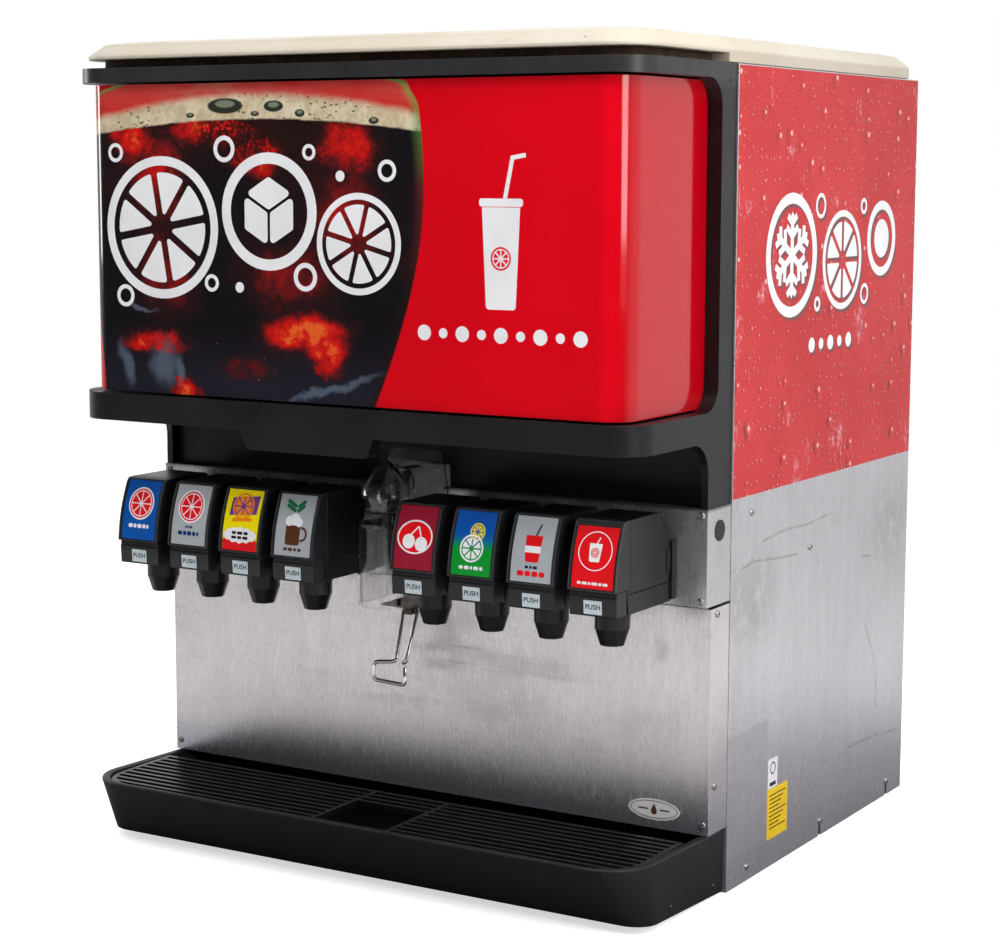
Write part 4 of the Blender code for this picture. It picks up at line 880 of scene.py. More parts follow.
def disc(x, y, radius, steps=40, flat=1.0):
    """A filled circle, or an ellipse if flat is below 1."""
    turns = [math.tau * step / steps for step in range(steps)]
    return [[(x + radius * math.cos(a), y + radius * flat * math.sin(a)) for a in turns]]


def ring(x, y, radius, width, start=0.0, sweep=360.0, steps=48, flat=1.0):
    """A band of that width inside a circle of that radius, as a strip of faces."""
    inner = radius - width
    angles = [math.radians(start + sweep * step / steps) for step in range(steps + 1)]
    rows = [
        ((x + radius * math.cos(a), y + radius * flat * math.sin(a)),
         (x + inner * math.cos(a), y + (radius * flat - width) * math.sin(a)))
        for a in angles
    ]
    return [[first[1], first[0], second[0], second[1]] for first, second in zip(rows, rows[1:])]


def bar(start, end, width):
    """A straight bar with square ends."""
    start, end = Vector(start), Vector(end)
    across = (end - start).orthogonal().normalized() * width / 2
    return [[tuple(start - across), tuple(end - across), tuple(end + across), tuple(start + across)]]


def capsule(start, end, width, steps=10):
    """A straight bar with round ends."""
    start, end = Vector(start), Vector(end)
    ahead = math.atan2((end - start).y, (end - start).x)
    points = []
    for centre, first in ((end, ahead - math.pi / 2), (start, ahead + math.pi / 2)):
        for step in range(steps + 1):
            angle = first + math.pi * step / steps
            points.append((centre.x + width / 2 * math.cos(angle), centre.y + width / 2 * math.sin(angle)))
    return [points]


def rectangle(x, y, width, height, radius=0.0):
    """A filled rectangle round its middle, with corners of that radius."""
    half_x, half_y = width / 2, height / 2
    corners = [(x + sx * half_x, y + sy * half_y, radius) for sx, sy in ((-1, -1), (1, -1), (1, 1), (-1, 1))]
    return [rounded(corners, 6)]


def placed(points, x, y, angle):
    """An outline turned by the angle about 0, 0 and moved to x, y."""
    cos, sin = math.cos(angle), math.sin(angle)
    return [(x + px * cos - py * sin, y + px * sin + py * cos) for px, py in points]


def wheel(x, y, radius, segments=8, rim=0.13, gap=0.055, start=0.0):
    """A slice of citrus: its rind as a ring, and its segments."""
    sweep = 360.0 / segments
    shapes = ring(x, y, radius, radius * rim, start, 360.0, 8 * segments)
    flesh = radius * (1.0 - rim * 1.75)
    for index in range(segments):
        middle = math.radians(start + sweep * (index + 0.5))
        half = math.radians(sweep / 2)
        tip = radius * gap / math.sin(half)
        points = [(tip, 0.0)]
        spread_angle = half - math.asin(radius * gap / flesh)
        for step in range(9):
            angle = -spread_angle + 2 * spread_angle * step / 8
            points.append((flesh * math.cos(angle), flesh * math.sin(angle)))
        corners = [(px, py, radius * 0.03 if k in (0, 1, 9) else 0) for k, (px, py) in enumerate(points)]
        shapes.append(placed(rounded(corners, 4), x, y, middle))
    return shapes


def drop(x, y, size, steps=36):
    """A falling drop, size high."""
    points = []
    for step in range(steps):
        angle = math.tau * step / steps
        wide = math.sin(angle) * math.sin(angle / 2) ** 1.4
        points.append((x + size * 0.40 * wide, y + size * 0.5 * math.cos(angle)))
    return [points]


def flake(x, y, radius, width):
    """A snowflake: a hexagon with six arms, and two pairs of barbs on each."""
    half = width / 2
    lean = math.radians(55)
    turns = [math.radians(60 * index) for index in range(6)]
    shapes = [[(x + width * math.cos(a), y + width * math.sin(a)) for a in turns]]
    edge = [(width * 0.866, half)]
    for share, length in ((0.40, 0.34), (0.70, 0.26)):
        foot, reach = radius * share, radius * length
        tip = (foot + reach * math.cos(lean), half + reach * math.sin(lean))
        across = width * 0.9
        far_tip = (tip[0] + across * math.sin(lean), tip[1] - across * math.cos(lean))
        edge += [(foot, half), tip, far_tip, (foot + width * 1.15, half)]
    edge += [(radius - half, half), (radius, 0)]
    outline = edge + [(px, -py) for px, py in reversed(edge[:-1])]
    return shapes + [placed(outline, x, y, turn + math.pi / 6) for turn in turns]


def tumbler(x, y, width, height, taper=0.78):
    """A plain straight-sided cup outline, filled, standing on y."""
    half, top, corner = width / 2, y + height, width * 0.08
    foot = half * taper
    corners = ((x - foot, y, corner), (x + foot, y, corner), (x + half, top, 0.0), (x - half, top, 0.0))
    return [rounded(corners, 6)]


def ice_cube(x, y, size, gap):
    """A cube seen from a corner, as its three visible faces."""
    shapes = []
    for turn in (90, 210, 330):
        first, second = math.radians(turn - 60), math.radians(turn + 60)
        a = Vector((math.cos(first), math.sin(first))) * size
        b = Vector((math.cos(second), math.sin(second))) * size
        middle = (a + b) / 2
        corners = [Vector((0, 0)), a, a + b, b]
        shrunk = [middle + (corner - middle) * (1 - gap) for corner in corners]
        shapes.append(rounded([(x + p.x, y + p.y, size * 0.10) for p in shrunk], 5))
    return shapes


def printed(name, body, slot, surface, layers, cuts=0, tall=0.0, lift=0.0, skin=0.00012):
    """Flat art on a surface, one layer of ink over another, each of them (ink, shapes).

    surface(u, v) gives the place and the outward direction there. For a curved surface, the art is cut into
    rows tall / cuts high. The lowest layer stands off the surface by lift.
    """
    bm = bmesh.new()
    for number, (_, shapes) in enumerate(layers):
        layer = bmesh.new()
        for shape in shapes:
            layer.faces.new([layer.verts.new((u, v, 0.0)) for u, v in shape])
        bmesh.ops.remove_doubles(layer, verts=layer.verts, dist=0.00001)
        for step in range(1, cuts):
            everything = layer.verts[:] + layer.edges[:] + layer.faces[:]
            height = Vector((0.0, tall * step / cuts, 0.0))
            bmesh.ops.bisect_plane(layer, geom=everything, plane_co=height, plane_no=(0, 1, 0))
        for face in layer.faces:
            if face.normal.z < 0:
                face.normal_flip()
            face.material_index = number
        flat = bpy.data.meshes.new("layer")
        outer = {vert: surface(vert.co.x, vert.co.y) for vert in layer.verts}
        for vert, (place, outward) in outer.items():
            vert.co = place + outward * (lift + skin * (number + 1))
        bmesh.ops.extrude_face_region(layer, geom=layer.faces[:], use_keep_orig=True)
        for vert, (_, outward) in outer.items():
            vert.co = vert.co - outward * (skin + (lift if number == 0 else 0.0))
        bmesh.ops.recalc_face_normals(layer, faces=layer.faces)
        layer.to_mesh(flat)
        layer.free()
        bm.from_mesh(flat)
    mesh = bpy.data.meshes.new(name)
    bm.to_mesh(mesh)
    bm.free()
    return piece(name, mesh, body, [ink for ink, _ in layers], slot, smooth=30)


def word_shapes(text, x, y, height):
    """A word in the plain built-in typeface, as faces."""
    curve = bpy.data.curves.new("word", "FONT")
    curve.body = text
    curve.align_x = "CENTER"
    curve.align_y = "CENTER"
    curve.size = height
    curve.resolution_u = 3
    curve.offset = height * 0.016
    source = bpy.data.objects.new("word", curve)
    bpy.context.scene.collection.objects.link(source)
    mesh = bpy.data.meshes.new_from_object(source.evaluated_get(bpy.context.evaluated_depsgraph_get()))
    shapes = [[tuple(mesh.vertices[v].co[:2]) for v in face.vertices] for face in mesh.polygons]
    bpy.data.objects.remove(source)
    return [[(x + px, y + py) for px, py in shape] for shape in shapes]


# --- cabinet ---


def screw(name, centre, outward, radius=0.0040, height=0.0022, material=None):
    """A button-head screw with a six-sided socket."""
    dome = [(radius, 0.0), (radius, height * 0.22)]
    for step in range(1, 6):
        angle = math.radians(90 * step / 6)
        dome.append((radius * (1 - 0.55 * (1 - math.cos(angle))), height * (0.22 + 0.78 * math.sin(angle))))
    socket = radius * 0.42
    profile = dome + [(socket * 1.12, height), (socket, height * 0.92), (socket * 0.9, height * 0.25)]
    mesh = turned(profile, centre, outward, 24, name)
    return piece(name, mesh, "cabinet", material or SCREW_STEEL, "stainless_steel", smooth=28)


# Screws on a side panel: (y, z, radius of the head), in the order of their numbers.
SIDE_SCREWS = (
    (0.0520, 0.4335, 0.0040),
    (0.2200, 0.3700, 0.0040),
    (0.0535, 0.0167, 0.0040),
    (0.2680, 0.0185, 0.0042),
    (0.4880, 0.0185, 0.0042),
)
REAR_SCREWS = [(x, z) for x in (-0.365, 0.365) for z in (0.060, 0.470, 0.890)]
# CAD nodes whose own shape is kept: node, material, slot, body, rounding of the edges.
PLAIN_NODES = (
    ("base_pan", GALVANISED, "galvanised_steel", "cabinet", 0.0004),
    ("electrical_box", GALVANISED, "galvanised_steel", "cabinet", 0.0004),
    ("cable_gland", BLACK, "black_plastic", "cabinet", 0.0003),
    ("drain_pipe", WHITE_PLASTIC, "white_plastic", "cabinet", 0.0003),
    ("ice_hopper", WHITE_PLASTIC, "white_plastic", "cabinet", 0.0020),
    ("cold_plate", ALUMINIUM, "cast_aluminium", "cabinet", 0.0),
    ("gear_motor", ALUMINIUM, "cast_aluminium", "cabinet", 0.0),
    ("agitator", PLAIN_STEEL, "stainless_steel", "agitator", 0.0008),
    ("product_manifold", PLAIN_STEEL, "stainless_steel", "cabinet", 0.0),
    ("lamp_reflector", WHITE_PLASTIC, "white_plastic", "cabinet", 0.0003),
    ("lamp_tube", LAMP_GLASS, "lamp_glass", "cabinet", 0.0010),
    ("ice_gate", WHITE_PLASTIC, "white_plastic", "ice_gate", 0.0005),
    ("hole_plug", BLACK, "black_plastic", "cabinet", 0.0003),
    ("lever_bracket", BRASS, "brass_plate", "cabinet", 0.0005),
)
FOAM_NODES = (("hopper_gasket", 0.0020), ("lid_rest_strip", 0.0015))


def cabinet():
    """The steel shell, and the parts inside it in their own shapes."""
    half = spread("right_side_panel")[1].x
    for side, word in SIDES:
        node = f"{word}_side_panel"
        refined(node, SIDE_STEEL, "stainless_steel")
        for number, (y, z, radius) in enumerate(SIDE_SCREWS, 1):
            screw(f"{node}_screw_{number}", (side * half, y, z), (side, 0, 0), radius)
    refined("rear_panel", REAR_STEEL, "stainless_steel", edge=0.0)
    back = spread("rear_panel")[1].y
    for number, (x, z) in enumerate(REAR_SCREWS, 1):
        screw(f"rear_screw_{number}", (x, back, z), (0, 1, 0))
    for node, material, slot, body, edge in PLAIN_NODES:
        refined(node, material, slot, body, edge)
    for node, edge in FOAM_NODES:
        refined(node, DARK_FOAM, "foam", edge=edge)


DECAL_FOOT = 0.4538
DECAL_BUBBLES = ((0.232, 0.778, 0.015), (0.365, 0.776, 0.010), (0.372, 0.668, 0.013), (0.226, 0.662, 0.009))
DECAL_SHADOW = (0.0045, -0.0040)  # how far the grey edge of the white art is moved


def side_decals():
    """Red prints on the upper part of both sides, with a snowflake, a citrus wheel and bubbles in white."""
    low, high = spread("right_side_panel")
    foot, top = DECAL_FOOT, high.z - 0.0012
    start, end = low.y + 0.0012, high.y - 0.0010
    middle = (start + end) / 2
    for side, name in SIDES:
        face = side * high.x

        def surface(u, v, face=face, side=side):
            return Vector((face, u if side > 0 else start + end - u, v)), Vector((side, 0, 0))

        sheet = rectangle(middle, (foot + top) / 2, end - start, top - foot)
        art = ring(0.150, 0.722, 0.072, 0.0125) + flake(0.150, 0.722, 0.050, 0.0085)
        art += wheel(0.300, 0.712, 0.060)
        art += ring(0.425, 0.735, 0.047, 0.0110) + disc(0.425, 0.735, 0.024)
        for x, z, radius in DECAL_BUBBLES:
            art += ring(x, z, radius, 0.0045, steps=28)
        for step in range(5):
            art += disc(0.212 + step * 0.028, 0.614, 0.0068 if step % 2 else 0.0090, 24)
        shadow = [[(u + DECAL_SHADOW[0], v + DECAL_SHADOW[1]) for u, v in shape] for shape in art]
        layers = [(SIDE_PRINT, sheet), (INKS["shadow"], shadow), (INKS["white"], art)]
        printed(f"{name}_side_decal", "cabinet", "graphic_sheet", surface, layers)


def side_labels():
    """A white and a yellow sticker on the right side, with plain lines in place of print."""
    face = spread("right_side_panel")[1].x

    def surface(u, v):
        return Vector((face, u, v)), Vector((1, 0, 0))

    white = rectangle(0.1235, 0.1130, 0.0270, 0.0360, 0.001)
    mark = ring(0.1235, 0.1190, 0.0075, 0.0016, steps=28) + rectangle(0.1235, 0.1000, 0.017, 0.0045)
    layers = [(INKS["white"], white), (INKS["black"], mark)]
    printed("white_label", "cabinet", "graphic_sheet", surface, layers)
    yellow = rectangle(0.1380, 0.0640, 0.0580, 0.0610, 0.001)
    lines = []
    margin = 0.1150
    for step in range(9):
        length = 0.046 - 0.006 * ((step * 5) % 4)
        z = 0.0860 - step * 0.0050
        lines += bar((margin, z), (margin + length, z), 0.0014)
    layers = [(INKS["label_yellow"], yellow), (INKS["black"], lines)]
    printed("yellow_label", "cabinet", "graphic_sheet", surface, layers)


# --- lid ---


LID_CORNER, LID_FRONT_CORNER = 0.020, 0.053
LID_RIM = 0.9455
LID_SKIRT_FRONT, LID_SKIRT_BASE, LID_WALL = -0.020, 0.9362, 0.0045
LID_PLUG = (0.315, 0.065, 0.475)  # half its width, its front and its back


def lid():
    """The domed slab, with a skirt over the cabinet and a plug that hangs in the hopper."""
    low, high = spread("lid")
    half, front, back, top = high.x, low.y, high.y, high.z
    tapers = (
        (0.0, LID_RIM + 0.0012),
        (0.0010, LID_RIM + 0.0050),
        (0.0105, 0.9597),
        (0.0185, 0.9643),
        (0.060, 0.9680),
        (0.130, top),
    )
    profile = [(0.0010, LID_RIM), (0.0, LID_RIM + 0.0008), *(tuple(point) for point in flowing(tapers, 4))]
    rings = []
    for inset, z in profile:
        across, near, far = half - inset, front + inset, back - inset
        corners = (
            (-across, far, LID_CORNER),
            (-across, near, LID_FRONT_CORNER),
            (across, near, LID_FRONT_CORNER),
            (across, far, LID_CORNER),
        )
        rings.append([(x, y, z) for x, y in rounded(corners, 14)])
    slab = lofted(rings)
    ahead, base = LID_SKIRT_FRONT, LID_SKIRT_BASE
    corners = ((-half, back, LID_CORNER), (-half, ahead, 0), (half, ahead, 0), (half, back, LID_CORNER))
    skirt = prism("XY", rounded(corners, 10), base, 0.9490)
    inner = half - LID_WALL
    cavity = block((-inner, ahead + LID_WALL, base - CLEAR_OF), (inner, back - LID_WALL, 0.9480))
    plug_half, plug_front, plug_back = LID_PLUG
    plug = block((-plug_half, plug_front, low.z), (plug_half, plug_back, 0.9520))
    body = combined(slab, [skirt], "UNION")
    body = combined(body, [cavity], "DIFFERENCE")
    body = combined(body, [plug], "UNION")
    piece("lid_look", body, "lid", CREAM, "cream_plastic", ("lid",), 0.0009, 32)


# --- merchandiser ---


FRAME_CORNER = 0.042
WINDOW_LOW, WINDOW_HIGH = 0.557, 0.918
WINDOW_BACK, WINDOW_RADIUS, WINDOW_HALF = -0.036, 0.030, 0.3615
SHELF_BASE = 0.524
CHEEK_FRONT, CHEEK_RADIUS = -0.058, 0.036
RECESS_HALF, RECESS_BACK, RECESS_RADIUS = 0.3705, -0.046, 0.012
HOLLOW_HALF, HOLLOW_FRONT, HOLLOW_TOP = 0.350, -0.0425, 0.545
NOTCH_HALF, NOTCH_TOP = 0.037, 0.477
SHELF_TAB = ((-0.136, 0.530, 0), (-0.121, 0.502, 0.008), (0.044, 0.502, 0.008), (0.053, 0.530, 0))
COLUMN_SCREWS = ((-0.0170, 0.9165), (-0.0150, 0.716), (-0.0145, 0.4985))
SHEET_SKIN, SHEET_RADIUS = 0.003, 0.034


def front_path(half, front, back, radius, steps):
    """A plan outline that is square at the back and rounded at both front corners."""
    return rounded(((-half, back, 0), (-half, front, radius), (half, front, radius), (half, back, 0)), steps)


def merchandiser_frame():
    """The black moulding, with finer curves and rounded edges."""
    low, high = spread("merchandiser_frame")
    half, front, back, base, top = high.x, low.y, high.y, low.z, high.z
    ahead, behind, below = front - CLEAR_OF, back + CLEAR_OF, base - CLEAR_OF
    profile = (
        (ahead, top + CLEAR_OF, 0),
        (ahead, WINDOW_HIGH, 0),
        (WINDOW_BACK, WINDOW_HIGH, WINDOW_RADIUS),
        (WINDOW_BACK, WINDOW_LOW, WINDOW_RADIUS),
        (ahead, WINDOW_LOW, 0),
        (ahead, SHELF_BASE, 0),
        (CHEEK_FRONT, SHELF_BASE, CHEEK_RADIUS),
        (CHEEK_FRONT, below, 0),
        (behind, below, 0),
        (behind, top + CLEAR_OF, 0),
    )
    body = prism("XY", front_path(half, front, back, FRAME_CORNER, 16), base, top)
    sides = prism("YZ", rounded(profile, 14), -half - CLEAR_OF, half + CLEAR_OF)
    body = combined(body, [sides], "INTERSECT")
    window = block((-WINDOW_HALF, ahead, WINDOW_LOW - 0.0005), (WINDOW_HALF, behind, WINDOW_HIGH + 0.0005))
    inner, roof = RECESS_HALF, SHELF_BASE - 0.0005
    outline = (
        (-inner, below, 0),
        (inner, below, 0),
        (inner, roof, RECESS_RADIUS),
        (-inner, roof, RECESS_RADIUS),
    )
    recess = prism("XZ", rounded(outline, 8), CHEEK_FRONT - CLEAR_OF, RECESS_BACK)
    hollow = block((-HOLLOW_HALF, HOLLOW_FRONT, below), (HOLLOW_HALF, behind, HOLLOW_TOP))
    notch = block((-NOTCH_HALF, CHEEK_FRONT - CLEAR_OF, below), (NOTCH_HALF, behind, NOTCH_TOP))
    body = combined(body, [window, recess, hollow, notch], "DIFFERENCE")
    body = combined(body, [prism("XZ", rounded(SHELF_TAB, 8), front, front + 0.020)], "UNION")
    replaced = ("merchandiser_frame",)
    piece("merchandiser_frame_look", body, "cabinet", BLACK_FRAME, "black_plastic", replaced, 0.0026, 32, 3)
    for side, word in SIDES:
        for number, (y, z) in enumerate(COLUMN_SCREWS, 1):
            name = f"column_screw_{number}_{word}"
            screw(name, (side * half, y, z), (side, 0, 0), 0.0028, 0.0009, SCREW_DARK)


# Rings of bubbles in the picture's white art: x, z, radius, width.
PICTURE_BUBBLES = (
    (-0.3295, 0.838, 0.011, 0.0042),
    (-0.170, 0.842, 0.015, 0.0052),
    (-0.190, 0.690, 0.010, 0.0042),
    (-0.052, 0.838, 0.009, 0.0040),
    (-0.058, 0.700, 0.016, 0.0055),
    (0.052, 0.818, 0.012, 0.0045),
    (-0.010, 0.812, 0.006, 0.0060),
    (-0.150, 0.686, 0.006, 0.0060),
    (-0.318, 0.672, 0.013, 0.0048),
)
STRAW = (
    (0.1990, 0.7895),
    (0.2040, 0.7895),
    (0.2125, 0.8300),
    (0.2270, 0.8325),
    (0.2262, 0.8370),
    (0.2085, 0.8340),
)
CUP_X = 0.1965


def graphic_panel():
    """The bent picture sheet, with its white art."""
    low, high = spread("graphic_panel")
    half, front, back = high.x, low.y, high.y
    skin, radius = SHEET_SKIN, SHEET_RADIUS
    outer = front_path(half, front, back, radius, 24)
    inner = front_path(half - skin, front + skin, back, radius - skin, 24)
    mesh = prism("XY", outer + inner[::-1], low.z, high.z)
    piece("graphic_panel_look", mesh, "cabinet", PANEL_PRINT, "graphic_sheet", ("graphic_panel",), 0.0004, 32)

    def surface(u, v):
        return Vector((u + PRINT_SHIFT, front, v)), Vector((0, -1, 0))

    art = wheel(-0.262, 0.752, 0.082, start=10)
    art += ring(-0.108, 0.772, 0.066, 0.0125) + ice_cube(-0.108, 0.772, 0.041, 0.10)
    art += wheel(0.014, 0.738, 0.056, start=-15)
    for x, z, radius, width in PICTURE_BUBBLES:
        art += ring(x, z, radius, width, steps=32)
    art += tumbler(CUP_X, 0.672, 0.047, 0.108) + rectangle(CUP_X, 0.785, 0.054, 0.0085, 0.003)
    art.append(list(STRAW))
    for step in range(9):
        radius = 0.0055 if step % 2 else 0.0085
        art += disc(0.1000 + step * 0.0242, 0.6445, radius, 28)
    layers = [(INKS["white"], art), (INKS["red"], wheel(CUP_X, 0.7260, 0.0125, rim=0.16, gap=0.07))]
    printed("graphic_panel_art", "cabinet", "graphic_sheet", surface, layers)


# --- steel front ---


FRONT_SCREW_X = 0.373
VALVE_PANEL_SCREWS = (0.4435, 0.3475)
SPLASH_SCREW_Z = 0.0900
SPLASH_SIDE_SCREWS = ((-0.032, 0.3300), (-0.034, 0.1330))
BADGE = (0.3115, 0.0997)


def steel_front():
    """The valve panel and the splash panel with their screws, and an oval badge with a drop on it."""
    refined("valve_panel", PANEL_STEEL, "stainless_steel", edge=0.0004)
    refined("splash_panel", SPLASH_STEEL, "stainless_steel", edge=0.0004)
    panel_front = spread("valve_panel")[0].y
    splash_low, splash_high = spread("splash_panel")
    for side, word in SIDES:
        x = side * FRONT_SCREW_X
        for number, z in enumerate(VALVE_PANEL_SCREWS, 1):
            screw(f"valve_panel_screw_{number}_{word}", (x, panel_front, z), (0, -1, 0))
        screw(f"splash_screw_{word}", (x, splash_low.y, SPLASH_SCREW_Z), (0, -1, 0))
        for number, (y, z) in enumerate(SPLASH_SIDE_SCREWS, 1):
            screw(f"splash_side_screw_{number}_{word}", (side * splash_high.x, y, z), (side, 0, 0))

    def surface(u, v):
        return Vector((u, splash_low.y, v)), Vector((0, -1, 0))

    x, z = BADGE
    plate = disc(x, z, 0.0330, 64, 0.37)
    border = ring(x, z, 0.0300, 0.0009, steps=64, flat=0.34)
    mark = drop(x, z + 0.0005, 0.0130)
    for side, _ in SIDES:
        mark += capsule((x + side * 0.0080, z), (x + side * 0.0190, z), 0.0018)
    layers = [(INKS["white"], plate), (INKS["brown"], border + mark)]
    printed("maker_badge", "cabinet", "graphic_sheet", surface, layers)


# --- drip tray ---


TRAY_RIM_BACK = 0.0760
TRAY_CORNER, TRAY_INNER_CORNER = 0.060, 0.050
FOOT_HALF, FOOT_FRONT, FOOT_CORNER = 0.376, -0.190, 0.028
FOOT_RISE = 0.0088  # how far the foot slopes up from its back to its front
RIM_IN, RIM_DOWN, LIP = 0.0028, 0.0030, 0.0025  # the rounding outside the rim, and that inside it
WELL_WALL = 0.006
FLOOR_HALF, FLOOR_FRONT, FLOOR_HEIGHTS = 0.3560, -0.1780, (0.013, 0.006)
DRAIN_RADIUS, DRAIN_X, DRAIN_Z = 0.008, -0.300, 0.020
TRAY_SCREW_X = 0.3762
TRAY_SCREWS = ((-0.1300, 0.0188), (-0.0248, 0.0137))


def drip_tray():
    """The tray with a softly rounded rim."""
    low, high = spread("drip_tray")
    half, front, back, top = high.x, low.y, high.y, high.z
    grid_low, grid_high = spread("cup_grid")
    seat = grid_low.z - 0.0005

    def ring_at(across, near, far, radius, near_z, far_z):
        slope = (near_z - far_z) / (near - far)
        return [(x, y, far_z + slope * (y - far)) for x, y in front_path(across, near, far, radius, 14)]

    rings = []
    for inset, height in ((0.0030, 0.0), (0.0008, 0.0010), (0.0, 0.0040)):
        across, near = FOOT_HALF - inset, FOOT_FRONT + inset
        rings.append(ring_at(across, near, back, FOOT_CORNER, FOOT_RISE + height, height))
    for step in range(7):
        angle = math.radians(90 * step / 6)
        inset, down = RIM_IN * (1 - math.cos(angle)), RIM_DOWN * (1 - math.sin(angle))
        across, near, corner = half - inset, front + inset, TRAY_CORNER - inset * 0.6
        rings.append(ring_at(across, near, back, corner, top - down, TRAY_RIM_BACK - down))
    seat_half, seat_front = grid_high.x + 0.0020, grid_low.y - 0.0015
    well = back - WELL_WALL
    corner = TRAY_INNER_CORNER
    for step in range(4):
        angle = math.radians(90 * step / 3)
        inset, down = LIP * (1 - math.sin(angle)), LIP * (1 - math.cos(angle))
        near_z, far_z = top - 0.0006 - down, TRAY_RIM_BACK - 0.0003 - down * 0.2
        rings.append(ring_at(seat_half + inset, seat_front - inset, well, corner + 0.001, near_z, far_z))
    rings += [
        ring_at(seat_half - 0.0005, seat_front + 0.0005, well, corner, seat, seat),
        ring_at(grid_high.x - 0.0070, grid_low.y + 0.0075, well - 0.001, corner - 0.002, seat, seat),
        ring_at(FLOOR_HALF, FLOOR_FRONT, well - 0.002, corner - 0.002, *FLOOR_HEIGHTS),
    ]
    bore = ((DRAIN_RADIUS, -0.02), (DRAIN_RADIUS, 0.02))
    drain = turned(bore, (DRAIN_X, back, DRAIN_Z), (0, 1, 0), 24)
    mesh = combined(lofted(rings), [drain], "DIFFERENCE")
    piece("drip_tray_look", mesh, "cabinet", BLACK_TRAY, "black_plastic", ("drip_tray",), smooth=32)
    for side, word in SIDES:
        for number, (y, z) in enumerate(TRAY_SCREWS, 1):
            place = (side * TRAY_SCREW_X, y, z)
            screw(f"tray_screw_{number}_{word}", place, (side, 0, 0), 0.0032, 0.0014, SCREW_DARK)
    refined("cup_grid", BLACK_GRID, "black_plastic", "cup_grid", 0.0010)


# --- ice chute and lever ---


# The hood's channel: half its width, its front and the height, from the foot up.
CHUTE_CHANNEL = (
    (0.0335, -0.1580, 0.3180),
    (0.0337, -0.1584, 0.3220),
    (0.0350, -0.1610, 0.4105),
    (0.0360, -0.1620, 0.4125),
    (0.0360, -0.1620, 0.4140),
    (0.0346, -0.1607, 0.4162),
    (0.0305, -0.1570, 0.4184),
    (0.0290, -0.1555, 0.4210),
    (0.0290, -0.1555, 0.4280),
    (0.0280, -0.1545, 0.4300),
    (0.0240, -0.1500, 0.4320),
)
# The hood's dome: radius and height.
CHUTE_DOME = (
    (0.0262, 0.4240),
    (0.0262, 0.4300),
    (0.0285, 0.4440),
    (0.0285, 0.4490),
    (0.0255, 0.4580),
    (0.0210, 0.4670),
    (0.0155, 0.4750),
    (0.0090, 0.4820),
    (0.0035, 0.4870),
)


def chute_shape(inset, back):
    """The hood as a solid, drawn in by inset: a channel, the dome on it, and an arch behind the dome."""

    def channel_ring(half, front, z):
        turns = [math.pi + math.pi * step / 32 for step in range(33)]
        points = [(half * math.cos(a), front + half + half * math.sin(a), z) for a in turns]
        return [(-half, back, z), *points, (half, back, z)]

    rings = [channel_ring(half - inset, front + inset, z - inset) for half, front, z in CHUTE_CHANNEL]
    if inset:
        rings[0] = [(x, y, z - CLEAR_OF) for x, y, z in rings[0]]
    profile = [(radius - inset, z - inset) for radius, z in flowing(CHUTE_DOME, 4)]
    dome = turned(profile, (0, -0.1270, 0), sides=64)
    half, low, high = 0.0215 - inset, 0.4220, 0.4745 - inset
    corner = 0.018 - inset
    arch = rounded(((-half, low, 0), (half, low, 0), (half, high, corner), (-half, high, corner)), 14)
    arch = prism("XZ", arch, -0.100 + inset, back)
    return combined(lofted(rings), [dome, arch], "UNION")


def ice_chute():
    """The clear hood and its flange, thin-walled, with smooth curves."""
    low, high = spread("ice_chute")
    back, base, wall, plate = high.y, low.z, 0.0022, 0.0022
    half, top_half, shoulder = high.x, 0.0368, 0.448
    outline = rounded(
        (
            (-half, base, 0),
            (half, base, 0),
            (half, shoulder, 0.010),
            (top_half, high.z, 0.005),
            (-top_half, high.z, 0.005),
            (-half, shoulder, 0.010),
        ),
        8,
    )
    flange = prism("XZ", outline, back - plate, back)
    mesh = combined(chute_shape(0.0, back), [flange], "UNION")
    mesh = combined(mesh, [chute_shape(wall, back + CLEAR_OF)], "DIFFERENCE")
    piece("ice_chute_look", mesh, "cabinet", CLEAR, "clear_plastic", ("ice_chute",), 0.0004, 38)
    head = ((0.0038, 0.0), (0.0038, 0.0012), (0.0032, 0.0020), (0.0012, 0.0021), (0.0010, 0.0008))
    for side, word in SIDES:
        stud = turned(head, (side * 0.0300, back - plate, 0.4700), (0, -1, 0), 20)
        piece(f"chute_stud_{word}", stud, "cabinet", PLAIN_STEEL, "stainless_steel")


def ice_lever():
    """The bent wire lever, from one end of the wire to the other."""
    pivot_y, pivot_z = -0.076, 0.304
    corners = (
        (0.0030, -0.0960, 0.2432),
        (0.0095, -0.1000, 0.2450),
        (0.0110, pivot_y, pivot_z),
        (-0.0090, pivot_y, pivot_z),
        (-0.0045, -0.1000, 0.2445),
        (-0.0340, -0.1025, 0.2415),
        (-0.0340, -0.1035, 0.2205),
        (0.0105, -0.1040, 0.2185),
        (0.0110, -0.1040, 0.2395),
    )
    mesh = tube(bent(corners, 0.0058), 0.0024, "ice_lever_look")
    piece("ice_lever_look", mesh, "ice_lever", CHROME, "stainless_steel", ("ice_lever",), smooth=50)


# --- valves ---

CARD_HALF = 0.02525
CARD_Z = (0.3770, 0.4470)
LAST_CARD_SHORT = 0.0049  # how much shorter the eighth card is
COVER_HALF = 0.029
COVER_FOOT, COVER_HEAD = (-0.1990, 0.3748), (-0.1810, 0.4450)  # y and z of the bowed face's ends
COVER_BOW = 0.0035
COVER_SPLIT = -0.1668  # where the fascia meets the housing
COVER_SEAM, COVER_TOP = 0.3692, 0.4498


def cover_front(z, inset=0.0):
    """How far forward the cover's bowed face is at a height."""
    foot, head = COVER_FOOT, COVER_HEAD
    share = (z - foot[1]) / (head[1] - foot[1])
    bow = COVER_BOW * math.sin(math.pi * min(max(share, 0.0), 1.0))
    return foot[0] + (head[0] - foot[0]) * share - bow + inset


